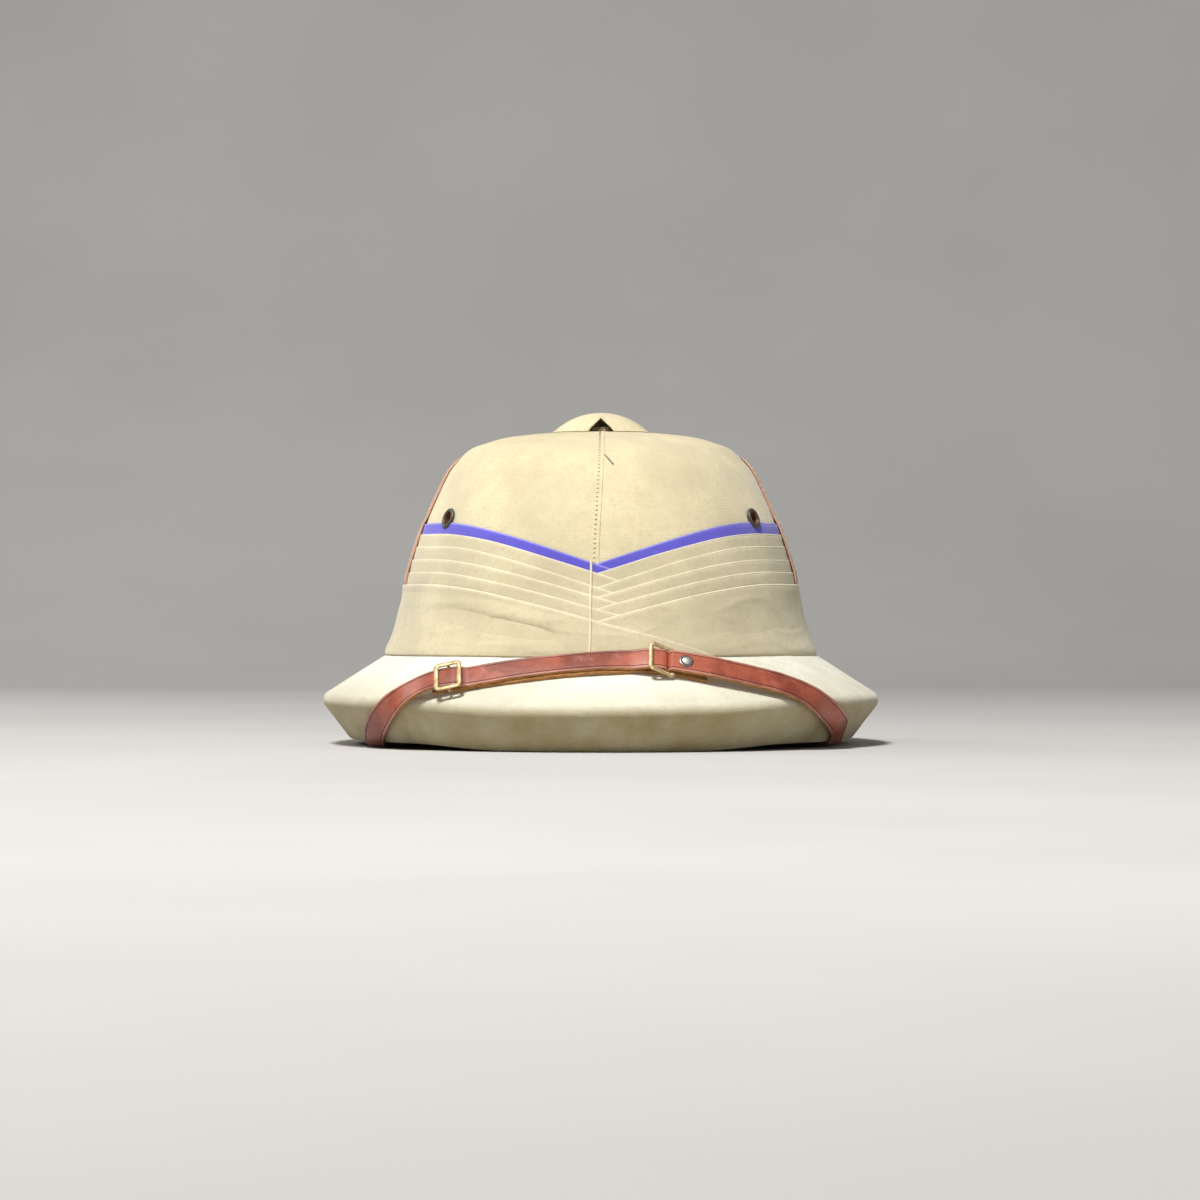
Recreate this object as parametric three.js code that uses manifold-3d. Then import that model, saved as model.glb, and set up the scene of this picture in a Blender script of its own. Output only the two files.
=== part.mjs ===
// A cloth-covered pith sun helmet: a hollow pith crown, a thick drooping brim with a bevelled rim,
// a pleated cloth band with a coloured top fold, a domed ventilator, two eyelets, two side flashes,
// and a leather chin strap worn over the front of the brim.
// Millimetres, +Z up, the front faces -Y, and the helmet stands on its rim on z = 0.
import * as THREE from 'three';
import Module from 'manifold-3d';
import { mergeVertices } from 'three/addons/utils/BufferGeometryUtils.js';

const manifold = await Module();
manifold.setup();

// Crown
const crownWidth = 216;
const crownLength = 250;
const crownHeight = 114;
const crownWall = 9;
const ventHoleRadius = 13;
const ventSeatRadius = 27;
const ventSeatDrop = 0.8;

// Brim, whose reaches run from the crown's wall to the rim
const rootHeight = 49;
const brimSideReach = 37;
const brimFrontReach = 44;
const brimBackReach = 50;
const brimDepth = 28;
const rimHeight = 20;
const rimRadius = 5;
const rimUndercut = 14;
const rimLand = 4;
const rimHemRadius = 2;
const sideLift = 3;

// Pleated band
const bandHeight = 65.5;
const bandClearance = 0.5;
const bandBrimClearance = 0.45;

// Ventilator
const capRadius = 25.2;
const capHeight = 10.4;
const capWall = 1.5;
const capOpenings = 3;
const capOpeningWidth = 15;
const capOpeningHeight = 8;
const collarWall = 2;
const collarStand = 3;

// Eyelets
const eyeletRadius = 5.6;
const eyeletHoleRadius = 4;
const eyeletFlange = 1.1;
const eyeletBarrelWall = 0.6;
const eyeletTurn = 32;
const eyeletAboveBand = 1.9;

// Side flashes
const flashWidth = 42;
const flashHeight = 66;
const flashThickness = 1;
const flashClearance = 0.65;
const flashCorner = 12;
const flashEasing = 5;

// Chin strap
const strapWidth = 12;
const strapThickness = 1.6;
const strapRest = 0.45;
const strapUnderRest = 0.9;
const strapFrontLean = 14;
const strapSideLean = 27;
const strapSideTurn = 28;
const strapWrapTurn = 39;
const strapFlatTurn = 49;
const strapLandTurn = 45;
const slideTurn = -35.4;
const slideTailTurn = -38.8;
const buckleTurn = 14.4;
const studTurn = 19.9;
const tailTurn = 24.5;
const strapEase = 5;
const strapAnchorMargin = 9;

// Buckles: a frame with a centre bar
const barSize = 1.3;
const barClearance = 0.6;
const barPitch = 5.9;
const frameMargin = 1;

// Rivets
const studRadius = 3.3;
const studShank = 1.3;
const studHead = 0.9;
const anchorRadius = 4.5;
const anchorShank = 1.5;
const anchorHead = 1.4;
const anchorDepth = 8;

const gap = 0.3;
const stationsAround = 48;
const strapStep = 8;
const strapEaseStep = 4.8;
const strapBentStep = 2.5;

const rad = THREE.MathUtils.degToRad;
const crownSide = crownWidth / 2;
const crownEnd = crownLength / 2;
const crownCentre = (brimFrontReach - brimBackReach) / 2;
const crownTop = rootHeight + crownHeight;

// The crown's outside from its root to its top: rise is a share of the crown's height,
// and side, front and back are shares of its half width and half length.
const crownProfile = [
  { rise: 0.000, side: 1.000, front: 1.000, back: 1.000 },
  { rise: 0.090, side: 0.962, front: 0.968, back: 0.968 },
  { rise: 0.200, side: 0.932, front: 0.942, back: 0.942 },
  { rise: 0.310, side: 0.914, front: 0.926, back: 0.924 },
  { rise: 0.420, side: 0.891, front: 0.906, back: 0.902 },
  { rise: 0.585, side: 0.845, front: 0.864, back: 0.856 },
  { rise: 0.700, side: 0.795, front: 0.816, back: 0.804 },
  { rise: 0.806, side: 0.741, front: 0.754, back: 0.738 },
  { rise: 0.861, side: 0.695, front: 0.702, back: 0.684 },
  { rise: 0.917, side: 0.633, front: 0.628, back: 0.610 },
  { rise: 0.944, side: 0.561, front: 0.560, back: 0.542 },
  { rise: 0.972, side: 0.452, front: 0.450, back: 0.436 },
];

// The band's folds from the lowest up: the top edge's height at the sides and at the front,
// as shares of the band's height, and how far the fold stands off the crown.
const foldTable = [
  { fold: 'wrap', side: 0.520, front: 0.237, stand: 4.2 },
  { fold: 'pleat_4', side: 0.615, front: 0.328, stand: 2.5 },
  { fold: 'pleat_3', side: 0.712, front: 0.420, stand: 2.15 },
  { fold: 'pleat_2', side: 0.818, front: 0.496, stand: 1.85 },
  { fold: 'pleat_1', side: 0.914, front: 0.600, stand: 1.6 },
  { fold: 'blue', side: 1.000, front: 0.672, stand: 1.35 },
];
const foldTurn = 62;

// The strap's way over the brim: turn is in degrees from the front, and past is the distance
// in mm beyond the place where the brim's top rounds over into the rim.
const strapRoute = [
  { turn: 0, past: -35.2 },
  { turn: 10, past: -34.2 },
  { turn: 20, past: -30.5 },
  { turn: 30, past: -23 },
  { turn: 38, past: -13.5 },
  { turn: 43, past: -5 },
  { turn: 47.3, past: 2.5 },
  { turn: 52, past: 10 },
  { turn: 56.4, past: 17.5 },
  { turn: 60.3, past: 24.5 },
  { turn: 63.5, past: 31 },
  { turn: 66, past: 37.5 },
  { turn: 68.5, past: 44 },
  { turn: 72, past: 49.5 },
  { turn: 77, past: 52.3 },
];
const routeScale = 2.6;

// Azimuths run counterclockwise from +X, so the front is at -90 degrees.
function azimuths(count) {
  return Array.from({ length: count }, (_, i) => (i * 2 * Math.PI) / count);
}

function oval(azimuth, half) {
  const reach = Math.sin(azimuth) < 0 ? half.front : half.back;
  return new THREE.Vector2(half.side * Math.cos(azimuth), crownCentre + reach * Math.sin(azimuth));
}

function grown(half, amount) {
  return { side: half.side + amount, front: half.front + amount, back: half.back + amount };
}

const crownRows = crownProfile.map((row) => ({
  z: rootHeight + crownHeight * row.rise,
  side: crownSide * row.side,
  front: crownEnd * row.front,
  back: crownEnd * row.back,
}));

function crownHalf(z) {
  const above = crownRows.findIndex((row) => row.z > z);
  if (above === 0) return crownRows[0];
  if (above < 0) return crownRows[crownRows.length - 1];
  const [low, high] = [crownRows[above - 1], crownRows[above]];
  const t = (z - low.z) / (high.z - low.z);
  const mix = (key) => THREE.MathUtils.lerp(low[key], high[key], t);
  return { side: mix('side'), front: mix('front'), back: mix('back') };
}

function onCrown(azimuth, z, stand) {
  const p = oval(azimuth, grown(crownHalf(z), stand));
  return new THREE.Vector3(p.x, p.y, z);
}

// The rim's underside is level at the front and back and rises towards the sides.
function rimLift(azimuth) {
  const [level, lifted] = [0.07, 0.5];
  return sideLift * THREE.MathUtils.smoothstep(Math.cos(azimuth) ** 2, level, lifted);
}

// Mesh builders

function meshGeometry(vertices, triangles) {
  const geometry = new THREE.BufferGeometry();
  const flat = vertices.flatMap((v) => [v.x, v.y, v.z]);
  geometry.setAttribute('position', new THREE.Float32BufferAttribute(flat, 3));
  geometry.setIndex(triangles);
  return geometry;
}

// Joins each section's points to the next one's. Closed runs join the last section to the first;
// open runs are capped, which suits sections that are convex or thin strips of paired points.
function loft(sections, closed, caps = []) {
  const count = sections[0].length;
  const triangles = [];
  const runs = closed ? sections.length : sections.length - 1;
  for (let i = 0; i < runs; i += 1) {
    const next = (i + 1) % sections.length;
    for (let j = 0; j < count; j += 1) {
      const k = (j + 1) % count;
      const [a, b] = [i * count + j, i * count + k];
      const [c, d] = [next * count + j, next * count + k];
      triangles.push(a, b, d, a, d, c);
    }
  }
  if (!closed) {
    const last = (sections.length - 1) * count;
    caps.forEach(([a, b, c]) => triangles.push(a, c, b, last + a, last + b, last + c));
  }
  return outward(meshGeometry(sections.flat(), triangles));
}

function signedVolume(geometry) {
  const p = geometry.getAttribute('position');
  const at = (i) => new THREE.Vector3().fromBufferAttribute(p, geometry.index.array[i]);
  let volume = 0;
  for (let i = 0; i < geometry.index.count; i += 3) {
    volume += at(i).dot(at(i + 1).cross(at(i + 2))) / 6;
  }
  return volume;
}

function outward(geometry) {
  if (signedVolume(geometry) < 0) geometry.index.array.reverse();
  return geometry;
}

function welded(geometry) {
  const bare = geometry.clone();
  bare.deleteAttribute('normal');
  bare.deleteAttribute('uv');
  return outward(mergeVertices(bare, 1e-4));
}

function toSolid(geometry) {
  const bare = welded(geometry);
  return new manifold.Manifold(new manifold.Mesh({
    numProp: 3,
    vertProperties: new Float32Array(bare.getAttribute('position').array),
    triVerts: new Uint32Array(bare.index.array),
  }));
}

function toGeometry(solid) {
  const mesh = solid.getMesh();
  const geometry = new THREE.BufferGeometry();
  geometry.setAttribute('position', new THREE.BufferAttribute(mesh.vertProperties, 3));
  geometry.setIndex(new THREE.BufferAttribute(mesh.triVerts, 1));
  return geometry;
}

function cut(geometry, tools) {
  const carved = tools.reduce((solid, tool) => solid.subtract(toSolid(tool)), toSolid(geometry));
  return toGeometry(carved);
}

// A round piece on its own axis, placed at a point with its +Y along a direction.
function turned(profile, segments, at, direction) {
  const points = profile.map(([radius, height]) => new THREE.Vector2(radius, height));
  const turn = new THREE.Quaternion().setFromUnitVectors(new THREE.Vector3(0, 1, 0), direction);
  return welded(new THREE.LatheGeometry(points, segments))
    .applyQuaternion(turn)
    .translate(at.x, at.y, at.z);
}

// The brim's section is a chain of lines and arcs: distance runs out from the crown's wall.

function lineSpan(from, to) {
  const along = to.clone().sub(from);
  const normal = new THREE.Vector2(-along.y, along.x).normalize();
  return {
    length: along.length(),
    steps: 1,
    at: (t) => ({ point: from.clone().addScaledVector(along, t), normal }),
  };
}

function arcSpan(centre, radius, start, end, steps) {
  return {
    length: radius * Math.abs(end - start),
    steps,
    at: (t) => {
      const angle = THREE.MathUtils.lerp(start, end, t);
      const normal = new THREE.Vector2(Math.cos(angle), Math.sin(angle));
      return { point: centre.clone().addScaledVector(normal, radius), normal };
    },
  };
}

// A rounded corner between two straight runs, and where the runs meet it.
function roundedCorner(before, corner, after, radius, steps) {
  const inward = before.clone().sub(corner).normalize();
  const onward = after.clone().sub(corner).normalize();
  const half = Math.acos(inward.dot(onward)) / 2;
  const setback = radius / Math.tan(half);
  const bisector = inward.clone().add(onward).normalize();
  const centre = corner.clone().addScaledVector(bisector, radius / Math.sin(half));
  const start = corner.clone().addScaledVector(inward, setback);
  const end = corner.clone().addScaledVector(onward, setback);
  const angleTo = (p) => Math.atan2(p.y - centre.y, p.x - centre.x);
  let [first, last] = [angleTo(start), angleTo(end)];
  if (last > first) first += 2 * Math.PI;
  return { start, end, span: arcSpan(centre, radius, first, last, steps) };
}

const brimRootHalf = grown({ side: crownSide, front: crownEnd, back: crownEnd }, gap);
const rimHalf = {
  side: crownSide + brimSideReach,
  front: crownEnd + brimFrontReach,
  back: crownEnd + brimBackReach,
};

function brimPlan(azimuth) {
  const root = oval(azimuth, brimRootHalf);
  const outwards = oval(azimuth, rimHalf).sub(root);
  return { root, reach: outwards.length(), outwards: outwards.normalize() };
}

function brimSpans(azimuth) {
  const { reach } = brimPlan(azimuth);
  const lift = rimLift(azimuth);
  const top = new THREE.Vector2(0, rootHeight);
  const nose = new THREE.Vector2(reach - rimRadius, rimHeight + lift);
  const heel = new THREE.Vector2(reach - rimUndercut, lift);
  const toe = new THREE.Vector2(heel.x - rimLand, lift);
  const bottom = new THREE.Vector2(0, rootHeight - brimDepth);
  const tangentAngle = (point, side) => {
    const offset = nose.clone().sub(point);
    return offset.angle() + side * (Math.PI / 2 - Math.asin(rimRadius / offset.length()));
  };
  const noseStart = tangentAngle(top, -1) + Math.PI;
  const noseEnd = tangentAngle(heel, 1) - Math.PI;
  const start = ((noseStart % (2 * Math.PI)) + 2 * Math.PI) % (2 * Math.PI);
  const noseArc = arcSpan(nose, rimRadius, start, noseEnd, 4);
  const bevelTop = noseArc.at(1).point;
  const heelCorner = roundedCorner(bevelTop, heel, toe, rimHemRadius, 2);
  const toeCorner = roundedCorner(heelCorner.end, toe, bottom, rimHemRadius, 1);
  return [
    lineSpan(top, noseArc.at(0).point),
    noseArc,
    lineSpan(bevelTop, heelCorner.start),
    heelCorner.span,
    lineSpan(heelCorner.end, toeCorner.start),
    toeCorner.span,
    lineSpan(toeCorner.end, bottom),
  ];
}

// The point and outward normal on the brim's section at a distance past the start of the nose.
function brimAt(turn, past) {
  const azimuth = rad(turn - 90);
  const { root, outwards } = brimPlan(azimuth);
  const spans = brimSpans(azimuth);
  let along = past + spans[0].length;
  let index = 0;
  while (index < spans.length - 1 && along > spans[index].length) {
    along -= spans[index].length;
    index += 1;
  }
  const { point, normal } = spans[index].at(along / spans[index].length);
  return {
    point: new THREE.Vector3(root.x, root.y, 0).add(inPlane(outwards, point)),
    normal: inPlane(outwards, normal),
  };
}

function inPlane(outwards, v) {
  return new THREE.Vector3(outwards.x * v.x, outwards.y * v.x, v.y);
}

function brimSlope(azimuth) {
  const line = brimSpans(azimuth)[0];
  const [from, to] = [line.at(0).point, line.at(1).point];
  return (from.y - to.y) / (to.x - from.x);
}

function makeBrim() {
  return loft(azimuths(stationsAround).map((azimuth) => {
    const { root, outwards } = brimPlan(azimuth);
    return brimSpans(azimuth).flatMap((span) => {
      const shares = Array.from({ length: span.steps }, (_, i) => i / span.steps);
      return shares.map((t) => span.at(t).point);
    }).concat([new THREE.Vector2(0, rootHeight - brimDepth)])
      .map((p) => new THREE.Vector3(root.x, root.y, 0).add(inPlane(outwards, p)));
  }), true);
}

// Crown

const seatZ = crownTop - ventSeatDrop;
const crownBottom = rootHeight - brimDepth;
const crownBevel = 4;

function crownNormal(index) {
  const low = crownRows[Math.max(0, index - 1)];
  const high = crownRows[Math.min(crownRows.length - 1, index + 1)];
  return new THREE.Vector2(high.z - low.z, low.side - high.side).normalize();
}

function makeCrown() {
  const atRing = (azimuth, radius, z) => new THREE.Vector3(
    radius * Math.cos(azimuth),
    crownCentre + radius * Math.sin(azimuth),
    z,
  );
  const inside = crownRows.filter((_, i) => i % 2 === 1).reverse().map((row) => {
    const normal = crownNormal(crownRows.indexOf(row));
    return { z: row.z - crownWall * normal.y, half: grown(row, -crownWall * normal.x) };
  });
  return loft(azimuths(stationsAround).map((azimuth) => {
    const at = (half, z) => {
      const p = oval(azimuth, half);
      return new THREE.Vector3(p.x, p.y, z);
    };
    return [
      at(grown(crownRows[0], -crownWall), crownBottom + crownBevel),
      at(crownRows[0], crownBottom),
      ...crownRows.map((row) => at(row, row.z)),
      atRing(azimuth, ventSeatRadius, seatZ),
      atRing(azimuth, ventHoleRadius, seatZ),
      atRing(azimuth, ventHoleRadius, seatZ - crownWall),
      ...inside.map((row) => at(row.half, row.z)),
    ];
  }), true);
}

// Pleated band

function turnOf(azimuth) {
  const degrees = THREE.MathUtils.radToDeg(azimuth) + 90;
  return Math.abs(((degrees + 180) % 360 + 360) % 360 - 180);
}

function foldTop(name, azimuth) {
  const row = foldTable.find((entry) => entry.fold === name);
  const rise = Math.sin(rad(90 * Math.min(1, turnOf(azimuth) / foldTurn)));
  return rootHeight + bandHeight * THREE.MathUtils.lerp(row.front, row.side, rise);
}

function makePleats() {
  const folds = foldTable.slice(0, -1);
  return loft(azimuths(stationsAround).map((azimuth) => {
    const slope = brimSlope(azimuth);
    const bottomAt = (stand) => rootHeight - slope * (stand - gap) + bandBrimClearance;
    const tops = folds.map((row) => foldTop(row.fold, azimuth));
    const outer = [];
    let low = bottomAt(folds[0].stand);
    folds.forEach((row, i) => {
      const steps = i === 0 ? 4 : 1;
      for (let k = 0; k < steps; k += 1) {
        outer.push(onCrown(azimuth, THREE.MathUtils.lerp(low, tops[i], k / steps), row.stand));
      }
      outer.push(onCrown(azimuth, tops[i], row.stand));
      low = tops[i];
    });
    const top = tops[tops.length - 1];
    const foot = bottomAt(bandClearance);
    const inner = [6, 5, 4, 3, 2, 1, 0].map((k) => (
      onCrown(azimuth, THREE.MathUtils.lerp(foot, top, k / 6), bandClearance)
    ));
    return [...outer, ...inner];
  }), true);
}

function makeBlueBand(tools) {
  const blue = foldTable[foldTable.length - 1];
  const ring = loft(azimuths(stationsAround).map((azimuth) => {
    const low = foldTop('pleat_1', azimuth) + gap;
    const high = foldTop('blue', azimuth);
    return [
      onCrown(azimuth, low, bandClearance),
      onCrown(azimuth, low, blue.stand),
      onCrown(azimuth, high, blue.stand),
      onCrown(azimuth, high, bandClearance),
    ];
  }), true);
  return cut(ring, tools);
}

// Side flashes: cloth patches that follow the band's terraces and the crown above them.

function makeFlash(side) {
  const centre = side > 0 ? 0 : Math.PI;
  const bottom = foldTop('wrap', centre) + gap;
  const rows = foldTable.slice(1).map((row) => ({
    z: foldTop(row.fold, centre),
    stand: row.stand + flashClearance,
  }));
  const top = bottom + flashHeight;
  const bandTop = rows[rows.length - 1].z;
  const above = crownRows.map((row) => row.z)
    .filter((z) => z > bandTop + flashEasing + gap && z < top - flashCorner);
  const levels = [
    { z: bottom, stand: rows[0].stand },
    ...rows,
    { z: bandTop + flashEasing, stand: flashClearance },
    ...above.map((z) => ({ z, stand: flashClearance })),
    ...[0.0, 0.4, 0.7, 0.9, 1.0].map((t) => ({ z: top - flashCorner * (1 - t), stand: flashClearance })),
  ];
  const columns = 5;
  const arcPerAngle = (crownEnd ** 2 / crownSide) * 0.86;
  const sections = levels.map(({ z, stand }) => {
    const intoCorner = Math.max(0, (z - (top - flashCorner)) / flashCorner);
    const half = flashWidth / 2 - flashCorner * (1 - Math.sqrt(1 - intoCorner ** 2));
    const reach = half / arcPerAngle;
    const turns = Array.from({ length: columns }, (_, i) => reach * (2 * i / (columns - 1) - 1));
    const face = (lift) => turns.map((turn) => onCrown(centre + turn, z, stand + lift));
    return [...face(flashThickness), ...face(0).reverse()];
  });
  const count = 2 * columns;
  const caps = Array.from({ length: columns - 1 }, (_, j) => [
    [j, j + 1, count - 2 - j],
    [j, count - 2 - j, count - 1 - j],
  ]).flat();
  return loft(sections, false, caps);
}

// Ventilator

const capSphere = (capRadius ** 2 + capHeight ** 2) / (2 * capHeight);
const capBase = seatZ + gap;

function makeCap() {
  const dome = (radius, height, steps) => {
    const sphere = (radius ** 2 + height ** 2) / (2 * height);
    return Array.from({ length: steps + 1 }, (_, i) => {
      const angle = Math.asin(radius / sphere) * (1 - i / steps);
      return [sphere * Math.sin(angle), sphere * Math.cos(angle) - sphere + height];
    });
  };
  const outer = dome(capRadius, capHeight, 6);
  const inner = dome(capRadius - capWall, capHeight - capWall, 5).reverse();
  outer[outer.length - 1][0] = 0;
  inner[0][0] = 0;
  const at = new THREE.Vector3(0, crownCentre, capBase);
  const shell = turned([...outer, ...inner, outer[0]].reverse(), 32, at, new THREE.Vector3(0, 0, 1));
  const mouths = Array.from({ length: capOpenings }, (_, i) => {
    const shape = new THREE.Shape([
      new THREE.Vector2(-capOpeningWidth / 2, -1),
      new THREE.Vector2(capOpeningWidth / 2, -1),
      new THREE.Vector2(0, capOpeningHeight),
    ]);
    const prism = new THREE.ExtrudeGeometry(shape, { depth: capRadius, bevelEnabled: false, steps: 1 });
    return prism
      .rotateX(Math.PI / 2)
      .translate(0, -ventHoleRadius, capBase)
      .rotateZ((i * 2 * Math.PI) / capOpenings)
      .translate(0, crownCentre, 0);
  });
  return cut(shell, mouths);
}

function makeCollar() {
  const outer = ventHoleRadius - gap;
  const inner = outer - collarWall;
  const at = new THREE.Vector3(0, crownCentre, seatZ - crownWall);
  const height = crownWall + collarStand;
  const profile = [[inner, 0], [outer, 0], [outer, height], [inner, height], [inner, 0]];
  return turned(profile, 24, at, new THREE.Vector3(0, 0, 1));
}

// Eyelets

function eyeletFrame(side) {
  const azimuth = rad(-90 + side * (90 - eyeletTurn));
  const z = foldTop('blue', azimuth) + eyeletAboveBand;
  const step = 3;
  const at = onCrown(azimuth, z, 0);
  const around = onCrown(azimuth + 0.02, z, 0).sub(onCrown(azimuth - 0.02, z, 0));
  const up = onCrown(azimuth, z + step, 0).sub(onCrown(azimuth, z - step, 0));
  return { at, normal: around.cross(up).normalize() };
}

function eyeletTool(side, radius, inward, outward) {
  const { at, normal } = eyeletFrame(side);
  const start = at.clone().addScaledVector(normal, -inward);
  const length = inward + outward;
  return turned([[0, 0], [radius, 0], [radius, length], [0, length]], 20, start, normal);
}

function makeEyelet(side) {
  const { at, normal } = eyeletFrame(side);
  const barrel = eyeletHoleRadius - gap;
  const bore = barrel - eyeletBarrelWall;
  const stand = gap;
  const profile = [
    [bore, -crownWall],
    [barrel, -crownWall],
    [barrel, stand],
    [eyeletRadius, stand],
    [eyeletRadius - 0.4, stand + eyeletFlange * 0.8],
    [barrel, stand + eyeletFlange],
    [bore, stand + eyeletFlange * 0.6],
    [bore, -crownWall],
  ];
  return turned(profile, 16, at, normal);
}

// Chin strap

const routeCurve = new THREE.CatmullRomCurve3(
  [...strapRoute.slice(1).reverse().map((row) => ({ turn: -row.turn, past: row.past })), ...strapRoute]
    .map((row) => new THREE.Vector3(row.turn * routeScale, row.past, 0)),
  false,
  'centripetal',
);
const routeSamples = routeCurve.getSpacedPoints(600).map((p) => ({ turn: p.x / routeScale, past: p.y }));

function pastAt(turn) {
  const index = routeSamples.findIndex((row) => row.turn >= turn);
  if (index <= 0) return routeSamples[index < 0 ? routeSamples.length - 1 : 0].past;
  const [low, high] = [routeSamples[index - 1], routeSamples[index]];
  return THREE.MathUtils.mapLinear(turn, low.turn, high.turn, low.past, high.past);
}

// How far the strap's upper edge leans off the brim, in radians.
function strapLean(turn) {
  const { lerp, smoothstep } = THREE.MathUtils;
  const far = Math.abs(turn);
  const lean = lerp(strapFrontLean, strapSideLean, smoothstep(far, 0, strapSideTurn));
  return rad(lean) * (1 - smoothstep(far, strapWrapTurn, strapFlatTurn));
}

// The strap's own frame at a turn: along it, across it towards the crown, and off the brim.
function strapFrame(turn) {
  const step = 0.3;
  const here = brimAt(turn, pastAt(turn));
  const along = brimAt(turn + step, pastAt(turn + step)).point
    .sub(brimAt(turn - step, pastAt(turn - step)).point)
    .normalize();
  const across = new THREE.Vector3().crossVectors(here.normal, along).normalize();
  const off = new THREE.Vector3().crossVectors(along, across);
  const lean = strapLean(turn);
  const tilted = across.clone().multiplyScalar(Math.cos(lean)).addScaledVector(off, Math.sin(lean));
  const origin = here.point.clone()
    .addScaledVector(across, -strapWidth / 2)
    .addScaledVector(tilted, strapWidth / 2);
  return { origin, along, across: tilted, off: new THREE.Vector3().crossVectors(along, tilted) };
}

const lowStand = strapThickness / 2;
const barStand = strapRest + strapThickness + barClearance + barSize / 2;
const foldRadius = barSize / 2 + barClearance + strapThickness / 2;
const highStand = foldRadius + barStand;
const pairStand = strapRest + lowStand + strapThickness + gap;
const railStand = highStand + strapThickness / 2 + barClearance + barSize / 2;

// Places across the strap, as shares of its half width.
const strapShares = [-1, -1 / 3, 1 / 3, 1];

// How far a mm across the strap moves its place on the brim, in turn and past.
function acrossOnBrim(turn, across) {
  const step = 0.2;
  const past = pastAt(turn);
  const round = brimAt(turn + step, past).point.sub(brimAt(turn - step, past).point)
    .divideScalar(2 * step);
  const down = brimAt(turn, past + step).point.sub(brimAt(turn, past - step).point)
    .divideScalar(2 * step);
  const [a, b, c] = [round.lengthSq(), round.dot(down), down.lengthSq()];
  const [d, e] = [across.dot(round), across.dot(down)];
  const scale = a * c - b * b;
  return { turn: (d * c - e * b) / scale, past: (a * e - b * d) / scale };
}

// The strap's section at a turn. It is straight where the strap stands off the brim, and bends
// with the brim where it wraps round the rim.
function ribbonStation(turn, stand, forward = 1) {
  const frame = strapFrame(turn);
  const shift = acrossOnBrim(turn, frame.across);
  const wrap = THREE.MathUtils.smoothstep(Math.abs(turn), strapWrapTurn, strapFlatTurn);
  const row = (height) => strapShares.map((share) => {
    const w = (share * strapWidth) / 2;
    const bent = brimAt(turn + shift.turn * w, pastAt(turn) + shift.past * w);
    return frame.origin.clone()
      .addScaledVector(frame.across, w)
      .addScaledVector(frame.off, height)
      .lerp(bent.point.addScaledVector(bent.normal, height), wrap);
  });
  return {
    face: row(stand + (forward * strapThickness) / 2),
    back: row(stand - (forward * strapThickness) / 2),
  };
}

function foldStations(turn, offset, forward, steps) {
  const frame = strapFrame(turn);
  return Array.from({ length: steps + 1 }, (_, i) => {
    const angle = (Math.PI * i) / steps;
    const normal = frame.off.clone().multiplyScalar(Math.cos(angle))
      .addScaledVector(frame.along, forward * Math.sin(angle));
    const row = (radius) => strapShares.map((share) => frame.origin.clone()
      .addScaledVector(frame.across, (share * strapWidth) / 2)
      .addScaledVector(frame.along, offset)
      .addScaledVector(frame.off, barStand)
      .addScaledVector(normal, radius));
    return {
      face: row(foldRadius + strapThickness / 2),
      back: row(foldRadius - strapThickness / 2),
    };
  });
}

function ribbon(stations) {
  const sections = stations.map(({ face, back }) => [...face, ...back.reverse()]);
  const last = 2 * strapShares.length - 1;
  const caps = strapShares.slice(1).flatMap((_, i) => [
    [i, i + 1, last - i - 1],
    [i, last - i - 1, last - i],
  ]);
  return loft(sections, false, caps);
}

// Where the strap crosses the rim's nose and its foot.
function isBent(turn) {
  const far = Math.abs(turn);
  return (far > 41 && far < 53) || (far > 60 && far < 69);
}

function turnsBetween(from, to, spacing) {
  const start = routeSamples.filter((row) => (row.turn - from) * (row.turn - to) < 0);
  const ordered = from < to ? start : start.reverse();
  const kept = [{ turn: from }];
  ordered.forEach((row) => {
    const last = kept[kept.length - 1];
    const stretch = new THREE.Vector2(
      (row.turn - last.turn) * routeScale,
      pastAt(row.turn) - pastAt(last.turn),
    ).length();
    if (stretch >= (isBent(row.turn) ? strapBentStep : spacing)) kept.push(row);
  });
  return [...kept.map((row) => row.turn), to];
}

const turnPerMm = 1 / routeScale;
const smooth = THREE.MathUtils.smoothstep;

const ease = strapEase * turnPerMm;

// How far the middle of a layer that lies on the brim stands off it: a little more under the rim.
function restStand(turn) {
  const beneath = smooth(Math.abs(turn), 55, 60);
  return THREE.MathUtils.lerp(strapRest, strapUnderRest, beneath) + lowStand;
}

function upperStand(turn) {
  const doubled = smooth(turn, slideTurn - 2 * ease, slideTurn);
  const pair = THREE.MathUtils.lerp(restStand(turn), pairStand, doubled);
  const before = smooth(turn, -strapLandTurn, slideTurn - 0.6);
  const after = 1 - smooth(turn, slideTurn + 0.6, slideTurn + 2 * ease);
  const intoBuckle = smooth(turn, buckleTurn - 4 * ease, buckleTurn - ease);
  return Math.max(
    THREE.MathUtils.lerp(pair, highStand, turn < slideTurn ? before : after),
    THREE.MathUtils.lerp(pair, highStand, intoBuckle),
  );
}

const anchorTurn = strapRoute[strapRoute.length - 1].turn;

function makeStrapLeft(tools) {
  const landed = turnsBetween(-anchorTurn, slideTurn - 4 * ease, strapStep);
  const raised = turnsBetween(slideTurn - 4 * ease, buckleTurn, strapEaseStep);
  const upper = [...landed.slice(0, -1), ...raised.slice(0, -1)]
    .map((turn) => ribbonStation(turn, upperStand(turn)));
  const fold = foldStations(buckleTurn, 0, 1, 6);
  const lower = turnsBetween(buckleTurn, slideTailTurn, strapStep).slice(1)
    .map((turn) => ribbonStation(turn, restStand(turn), -1));
  return cut(ribbon([...upper, ...fold, ...lower]), tools);
}

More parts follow.
